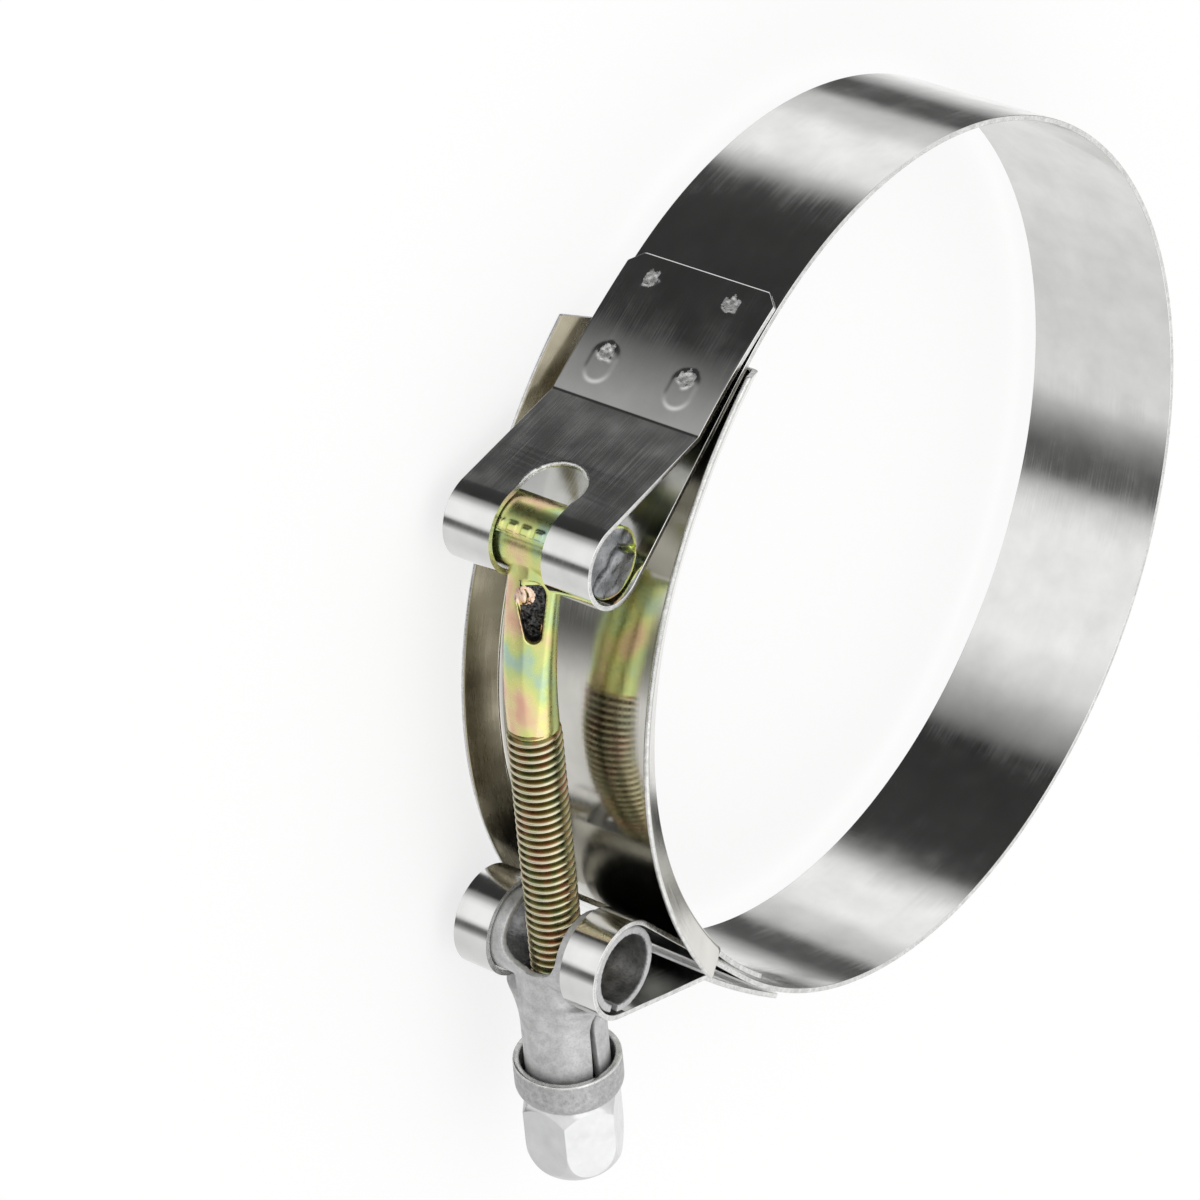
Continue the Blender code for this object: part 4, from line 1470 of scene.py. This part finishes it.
    def build(self) -> list[bpy.types.Object]:
        """Make the bolt's head with its shank, and its thread.

        Returns:
            Both pieces.
        """
        head = new_object("bolt_head_and_shank", self.shank,
                          (self.finishes.bolt, self.finishes.torn, self.finishes.sheared_end,
                           self.finishes.thick_film))
        combine(head, new_object("barrel", self.barrel), "UNION")
        combine(head, new_object("notch", self.notch), "DIFFERENCE")
        combine(head, new_object("lump", self.lump), "UNION")
        remesh(head, self.voxel, 3)
        move_vertices(head, self.form)
        move_vertices(head, self.pit)
        self.mark_notch_shade_bead_and_ends(head)
        thread = new_object("bolt_thread", self.thread, (self.finishes.thread,))
        self.mark_crests(thread)
        for piece, sharp in ((head, 180.0), (thread, 60.0)):
            settle(piece, self.frames.head, sharp)
            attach(piece, "bolt")
        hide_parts("t_bolt")
        return [head, thread]

    def mark_notch_shade_bead_and_ends(self, head: bpy.types.Object) -> None:
        """Give the notch's inside the torn finish of painted shade, its bead the pink one, the ends
        grey.

        Args:
            head: The object of the head and shank.
        """
        centres = np.empty(len(head.data.polygons) * 3)
        head.data.polygons.foreach_get("center", centres)
        centres = centres.reshape(-1, 3)
        reach = np.hypot(centres[:, 0], centres[:, 1])
        depth = self.half_barrel - np.abs(centres[:, 2])
        in_end = (depth < 0.3) | ((depth < 1.7) & (reach < 3.75))
        bead = np.array(self.lump_place.translation)
        outwards = np.array((0.0, *self.front))
        on_lump = (np.linalg.norm(centres - bead, axis=1) < 1.15) & (
            (centres - bead) @ outwards > -0.25)
        slots = np.where(in_end, 2, 0)
        # Slot 1 paints the notch's pocket near-black as its shade.
        slots = np.where(self.in_notch(centres, 1.8), 1, slots)
        slots = np.where(on_lump, 3, slots)
        head.data.polygons.foreach_set("material_index", slots.astype(np.int32))

    def mark_crests(self, thread: bpy.types.Object) -> None:
        """Store how high each point of the thread lies, from its root to its crest.

        Args:
            thread: The thread's object.
        """
        crest = thread.data.attributes.new("crest", "FLOAT", "POINT")
        depth = self.thread_radius - self.root_radius
        for vert, item in zip(thread.data.vertices, crest.data):
            reach = math.hypot(vert.co.y + self.offset, vert.co.z)
            item.value = min(max((reach - self.root_radius) / depth, 0.0), 1.0)


@dataclass
class Trunnion:
    """The folded sheet that sits in the lower loop: cross barrel, neck, saddle and seams."""

    frames: Frames
    finishes: Finishes
    wall: float = 0.9
    radius: float = 4.85
    neck_radius: float = 4.7
    neck_bore: float = 3.8
    neck_length: float = 18.6
    half_barrel: float = 9.3
    seam_width: float = 0.8
    seam_shift: float = 0.7
    gap_width: float = 1.2
    gap_angle: float = -30.0
    saddle_half: float = 3.6
    saddle_bottom: float = 1.6
    flare_reach: float = 2.1
    flare_start: float = 5.85
    flare_length: float = 4.6
    voxel: float = 0.16

    def saddle(self, bm: bmesh.types.BMesh) -> None:
        """The cutter for the U-shaped mouth.

        Args:
            bm: The mesh to add to.
        """
        half = self.saddle_half
        outline = arc(Vector((self.saddle_bottom - half, 0)), half, -90.0, 90.0, 6.0)
        outline += [Vector((-9.0, half)), Vector((-9.0, -half))]
        prism(bm, outline, -9.0, 9.0)
        bm.transform(Matrix.Rotation(math.pi / 2, 4, "X"))

    def seam(self, far: float) -> Ring:
        """The open seam along the neck, kinked where the sheet leaves the barrel.

        Args:
            far: Where the seam ends, beyond the neck.

        Returns:
            The seam's outline.
        """
        middle, half = -self.seam_shift, self.seam_width / 2
        start, bend = self.radius + 0.5, self.radius + 2.3
        return [Vector(pair) for pair in (
            (start, middle - 1.5), (bend, middle - 0.5 * half), (far, middle - 1.4 * half),
            (far, middle + 1.4 * half), (bend, middle + 0.5 * half), (start + 0.2, middle - 0.9))]

    def paint_bore_shade(self, piece: bpy.types.Object) -> None:
        """Give the barrel's inside the dull finish, whose darker colour is painted shade.

        Args:
            piece: The trunnion's object.
        """
        bore = self.radius - self.wall + 0.15
        for face in piece.data.polygons:
            x, y, z = face.center
            inside = math.hypot(x, y) < bore and abs(z) > self.neck_bore
            # Slot 1 paints shade into the bore.
            face.material_index = 1 if inside else 0

    def flare(self, points: np.ndarray) -> np.ndarray:
        """Widen the neck towards the loops, where the sheet was drawn in from the barrel.

        Args:
            points: An array of points in the piece's frame, in millimetres.

        Returns:
            The points' new places.
        """
        x, y, z = points.T
        share = np.clip((x - self.flare_start) / self.flare_length, 0.0, 1.0)
        grow = self.flare_reach * (1 - share) ** 2.2 * smooth_step(x, 5.62, 6.05)
        reach = np.hypot(y, z)
        outer = smooth_step(reach, 3.0, 3.6)
        side = np.abs(z) / np.maximum(reach, 0.1)
        points[:, 2] += np.sign(z) * grow * outer * side ** 2
        return points

    def build(self) -> bpy.types.Object:
        """Make the trunnion.

        Returns:
            The finished piece.
        """
        piece = new_object("trunnion_sheet", lambda bm: rod(
            bm, Vector((0, 0, 0)), Vector((self.neck_length, 0, 0)), self.neck_radius),
            (self.finishes.trunnion, self.finishes.bore))
        half = self.half_barrel
        far = self.neck_length + 2
        steps = [("UNION", lambda bm: rod(bm, Vector((0, 0, -half)), Vector((0, 0, half)),
                                          self.radius)),
                 ("DIFFERENCE", lambda bm: rod(bm, Vector((0, 0, 0)), Vector((far, 0, 0)),
                                               self.neck_bore)),
                 ("DIFFERENCE", lambda bm: rod(bm, Vector((0, 0, -12)), Vector((0, 0, 12)),
                                               self.radius - self.wall)),
                 ("DIFFERENCE", self.saddle),
                 ("DIFFERENCE", lambda bm: prism(bm, self.seam(far), 0, 12)),
                 ("DIFFERENCE", lambda bm: block(
                     bm, Vector((far - self.radius, self.seam_width, 10)),
                     Matrix.Translation(((far + self.radius) / 2 + 0.5, -self.seam_shift, -5))))]
        for side in (1, -1):
            turn = math.radians(self.gap_angle)
            place = Matrix.Rotation(turn, 4, "Z") @ Matrix.Translation(
                (self.radius - self.wall / 2, 0, side * (self.neck_radius + 4)))
            steps.append(("DIFFERENCE", lambda bm, place=place: block(
                bm, Vector((3, self.gap_width, 8)), place)))
        for operation, shape in steps:
            combine(piece, new_object("step", shape, (self.finishes.trunnion,)), operation)
        remesh(piece, self.voxel, 4)
        move_vertices(piece, self.flare)
        self.paint_bore_shade(piece)
        settle(piece, self.frames.cross, 180.0)
        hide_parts("trunnion")
        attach(piece, "trunnion")
        return piece


@dataclass
class NutStack:
    """The cup washer, the lock nut and its nylon ring, turned round the bolt's axis."""

    frames: Frames
    finishes: Finishes
    cup_floor: float = 19.8
    cup_inner: float = 5.2
    cup_wall: float = 0.8
    cup_depth: float = 4.4
    cup_bend: float = 1.3
    cup_edge: float = 0.25
    hole: float = 3.1
    seat: float = 19.9
    flats: float = 10.0
    height: float = 9.9
    dome_start: float = 5.4
    end_radius: float = 4.0
    seat_radius: float = 4.6
    chamfer: float = 1.6
    corner_margin: float = 0.003
    nylon_height: float = 2.2
    nylon_radius: float = 4.0
    nylon_lip: float = 0.5
    nylon_edge: float = 0.15
    sides: int = 128

    def cup_outline(self) -> Ring:
        """The cup's wall, with a rounded rim.

        Returns:
            The (x, radius) outline.
        """
        outer = self.cup_inner + self.cup_wall
        rim = self.cup_floor - self.cup_depth
        edge = self.cup_edge
        profile = arc(Vector((rim + edge, self.cup_inner + edge)), edge, 270.0, 180.0, 30.0)
        profile += arc(Vector((rim + edge, outer - edge)), edge, 180.0, 90.0, 30.0)
        bend = Vector((self.cup_floor - self.cup_bend, outer - self.cup_bend))
        profile += arc(bend, self.cup_bend, 90.0, 0.0, 9.0)
        profile += [Vector((self.cup_floor, self.hole)),
                    Vector((self.cup_floor - self.cup_wall, self.hole))]
        profile += arc(bend, self.cup_bend - self.cup_wall, 0.0, 90.0, 15.0)
        return profile

    def nut_outline(self) -> Ring:
        """The nut's round envelope: chamfered seat, hexagon's corners and rounded end.

        Returns:
            The (x, radius) outline.
        """
        corner = self.flats / math.sqrt(3)
        end = self.height
        nylon_start = end - self.nylon_lip - self.nylon_height - 0.2
        profile = [Vector((0.0, self.hole)), Vector((0.0, self.seat_radius)),
                   Vector((self.chamfer, corner))]
        for i in range(17):
            turn = math.pi / 2 * i / 16
            profile.append(Vector((
                self.dome_start + (end - self.dome_start) * math.sin(turn),
                self.end_radius + (corner - self.end_radius) * math.cos(turn))))
        mouth = self.nylon_radius - self.nylon_lip
        profile += [Vector((end, mouth)), Vector((end - self.nylon_lip, mouth)),
                    Vector((end - self.nylon_lip, self.nylon_radius + 0.1)),
                    Vector((nylon_start, self.nylon_radius + 0.1)),
                    Vector((nylon_start, self.hole))]
        return [p + Vector((self.seat, 0)) for p in profile]

    def build_nut(self) -> bpy.types.Object:
        """Make the nut.

        Returns:
            The finished piece.
        """
        nut = new_object("nut_body", lambda bm: lathe(bm, self.nut_outline(), self.sides),
                         (self.finishes.nut,))

        def hexagon(bm: bmesh.types.BMesh) -> None:
            """The six flats, as a bar that the nut's envelope is cut to."""
            rod(bm, Vector((self.seat - 1, 0, 0)), Vector((self.seat + 12, 0, 0)),
                self.flats / math.sqrt(3) - self.corner_margin, 6)
            bm.transform(Matrix.Rotation(math.radians(30.0), 4, "X"))

        combine(nut, new_object("hexagon", hexagon, (self.finishes.nut,)), "INTERSECT")
        soften_edges(nut, 0.12, 20.0)
        settle(nut, self.frames.cross, 25.0, flatten=True)
        return nut

    def build(self) -> list[bpy.types.Object]:
        """Make the cup, the nut and the nylon ring.

        Returns:
            The three pieces.
        """
        cup = new_object("cup_shell", lambda bm: lathe(bm, self.cup_outline(), self.sides),
                         (self.finishes.cup, self.finishes.edge))
        rim = self.cup_floor - self.cup_depth + self.cup_edge
        for face in cup.data.polygons:
            face.material_index = 1 if face.center.x < rim else 0
        settle(cup, self.frames.cross, 40.0)
        nut = self.build_nut()
        start = self.seat + self.height - self.nylon_lip - 0.1 - self.nylon_height
        ends = (start, start + self.nylon_height)
        edge = self.nylon_edge
        outline = [Vector((ends[0], self.hole)), Vector((ends[0], self.nylon_radius - edge)),
                   Vector((ends[0] + edge, self.nylon_radius)),
                   Vector((ends[1] - edge, self.nylon_radius)),
                   Vector((ends[1], self.nylon_radius - edge)), Vector((ends[1], self.hole))]
        ring = new_object("nylon_ring", lambda bm: lathe(bm, outline, self.sides),
                          (self.finishes.nylon,))
        settle(ring, self.frames.cross, 30.0)
        for piece, node, slot, body in ((cup, "cup_washer", "dull_zinc", "cup"),
                                        (nut, "lock_nut", "bright_zinc", "nut"),
                                        (ring, "nylon_insert", "nylon", "nut")):
            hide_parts(node)
            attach(piece, body)
        return [cup, nut, ring]


@dataclass
class Studio:
    """Pale floor, soft light, the studio's panels as the metal sees them, and the camera."""

    frames: Frames
    lens: float = 156.13
    camera_offset: tuple[float, float, float] = (-283.744, -414.012, 293.535)
    right: tuple[float, float, float] = (0.019733, 0.614621, 0.788575)
    down: tuple[float, float, float] = (0.866799, -0.403591, 0.292871)
    forward: tuple[float, float, float] = (0.498267, 0.677757, -0.540717)
    # How bright the studio is in each direction round the clamp, in degrees from +X.
    panels: tuple[tuple[float, float], ...] = (
        (0, 0.84), (39, 0.86), (49, 0.97), (75, 1.0), (86, 0.6), (95, 0.1), (106, 0.1),
        (111, 0.6), (121, 0.75), (126, 1.0), (141, 1.0), (145, 0.85), (153, 0.12),
        (156, 0.06), (163, 0.045), (194, 0.035), (200, 0.3), (206, 0.45), (215, 0.82),
        (225, 1.0), (257, 1.0), (263, 0.75), (269, 0.12), (276, 0.12), (282, 0.28),
        (287, 0.5), (292, 0.82), (325, 0.76), (360, 0.84))
    floor_glow: float = 0.75
    # Name, place and size in metres, and power in watts.
    lamps: tuple[tuple[str, tuple[float, float, float], float, float], ...] = (
        ("key", (-0.5, -0.25, 0.9), 0.9, 1.4), ("fill", (0.6, -0.3, 0.7), 0.8, 0.7))

    def world(self) -> None:
        """White all round for the eye, and white with soft dark panels for the metal."""
        world = bpy.data.worlds.new("studio")
        bpy.context.scene.world = world
        world.use_nodes = True
        nodes = Nodes(world.node_tree)
        way = nodes.add("ShaderNodeTexCoord").outputs["Generated"]
        parts = nodes.add("ShaderNodeSeparateXYZ", links={0: way})
        turn = nodes.add("ShaderNodeMath", {"operation": "ARCTAN2"},
                         {0: parts.outputs["Y"], 1: parts.outputs["X"]})
        share = nodes.add("ShaderNodeMath", {"operation": "DIVIDE"},
                          {0: turn.outputs[0], 1: 2 * math.pi})
        share = nodes.add("ShaderNodeMath", {"operation": "WRAP"},
                          {0: share.outputs[0], 1: 1.0, 2: 0.0})
        stops = [(degrees / 360, (level, level, level, 1.0)) for degrees, level in self.panels]
        walls = nodes.ramp(share.outputs[0], stops)
        up = nodes.add("ShaderNodeMapRange", {"interpolation_type": "SMOOTHSTEP"}, {
            "Value": parts.outputs["Z"], "From Min": -0.05, "From Max": 0.45,
            "To Min": 0.0, "To Max": 0.85})
        lit = nodes.add("ShaderNodeMix", {"data_type": "RGBA"},
                        {0: up.outputs["Result"], 6: walls, 7: (1.0, 1.0, 1.0, 1.0)})
        path = nodes.add("ShaderNodeLightPath")
        seen = nodes.add("ShaderNodeMix", {"data_type": "RGBA"},
                         {0: path.outputs["Is Glossy Ray"], 6: (1.0, 1.0, 1.0, 1.0),
                          7: lit.outputs[2]})
        shade = nodes.add("ShaderNodeBackground", links={"Color": seen.outputs[2],
                                                         "Strength": 1.0})
        nodes.add("ShaderNodeOutputWorld", links={"Surface": shade.outputs[0]})

    def floor(self) -> None:
        """A pale floor that keeps a soft shadow and stays out of the metal's reflections."""
        bm = bmesh.new()
        bmesh.ops.create_grid(bm, x_segments=8, y_segments=8, size=3.0)
        mesh = bpy.data.meshes.new("floor")
        bm.to_mesh(mesh)
        bm.free()
        floor = bpy.data.objects.new("floor", mesh)
        bpy.context.scene.collection.objects.link(floor)
        floor.visible_glossy = False
        material = bpy.data.materials.new("pale_floor")
        material.use_nodes = True
        nodes = Nodes(material.node_tree)
        matt = nodes.add("ShaderNodeBsdfDiffuse", links={"Color": srgb("#F4F4F3")})
        glow = nodes.add("ShaderNodeEmission", links={"Color": (1, 1, 1, 1), "Strength": 1.0})
        path = nodes.add("ShaderNodeLightPath")
        share = nodes.add("ShaderNodeMath", {"operation": "MULTIPLY"},
                          {0: path.outputs["Is Camera Ray"], 1: self.floor_glow})
        both = nodes.add("ShaderNodeMixShader", links={
            0: share.outputs[0], 1: matt.outputs[0], 2: glow.outputs[0]})
        nodes.add("ShaderNodeOutputMaterial", links={"Surface": both.outputs[0]})
        mesh.materials.append(material)

    def lamp(self, name: str, place: Vector, size: float, power: float) -> None:
        """A square soft lamp that faces the clamp.

        Args:
            name: The lamp's name.
            place: Where it stands, in metres.
            size: Its side's length in metres.
            power: Its power in watts.
        """
        light = bpy.data.lights.new(name, "AREA")
        light.energy, light.size = power, size
        lamp = bpy.data.objects.new(name, light)
        bpy.context.scene.collection.objects.link(lamp)
        lamp.location = place
        lamp.rotation_euler = (-place).to_track_quat("-Z", "Y").to_euler()

    def camera(self) -> None:
        """The photograph's view, which is rolled because the clamp stands up in it."""
        data = bpy.data.cameras.new("camera")
        data.lens, data.sensor_width = self.lens, 36.0
        data.clip_start, data.clip_end = 0.01, 50.0
        camera = bpy.data.objects.new("camera", data)
        bpy.context.scene.collection.objects.link(camera)
        axes = Matrix((self.right, [-c for c in self.down], [-c for c in self.forward]))
        place = self.frames.ring.translation + Vector(self.camera_offset) * MM
        camera.matrix_world = Matrix.Translation(place) @ axes.transposed().to_4x4()
        bpy.context.scene.camera = camera

    def build(self) -> None:
        """Set up the studio."""
        self.world()
        self.floor()
        for name, place, size, power in self.lamps:
            self.lamp(name, Vector(place), size, power)
        self.camera()
        bpy.context.scene.view_settings.view_transform = "Standard"


def main() -> None:
    """Build the clamp's looks in order, and report each piece."""
    logging.basicConfig(level=logging.INFO, format="%(message)s")
    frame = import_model()
    frames = Frames.from_record(frame["record"])
    finishes = Finishes()
    band = Band(frames, finishes)
    pieces = [band.build(), BridgePlate(frames, finishes, band).build()]
    pieces += TBolt(frames, finishes).build()
    pieces.append(Trunnion(frames, finishes).build())
    pieces += NutStack(frames, finishes).build()
    for piece in pieces:
        LOG.info("%s: %d faces", piece.name, len(piece.data.polygons))
    Studio(frames).build()


if __name__ == "__main__":
    main()
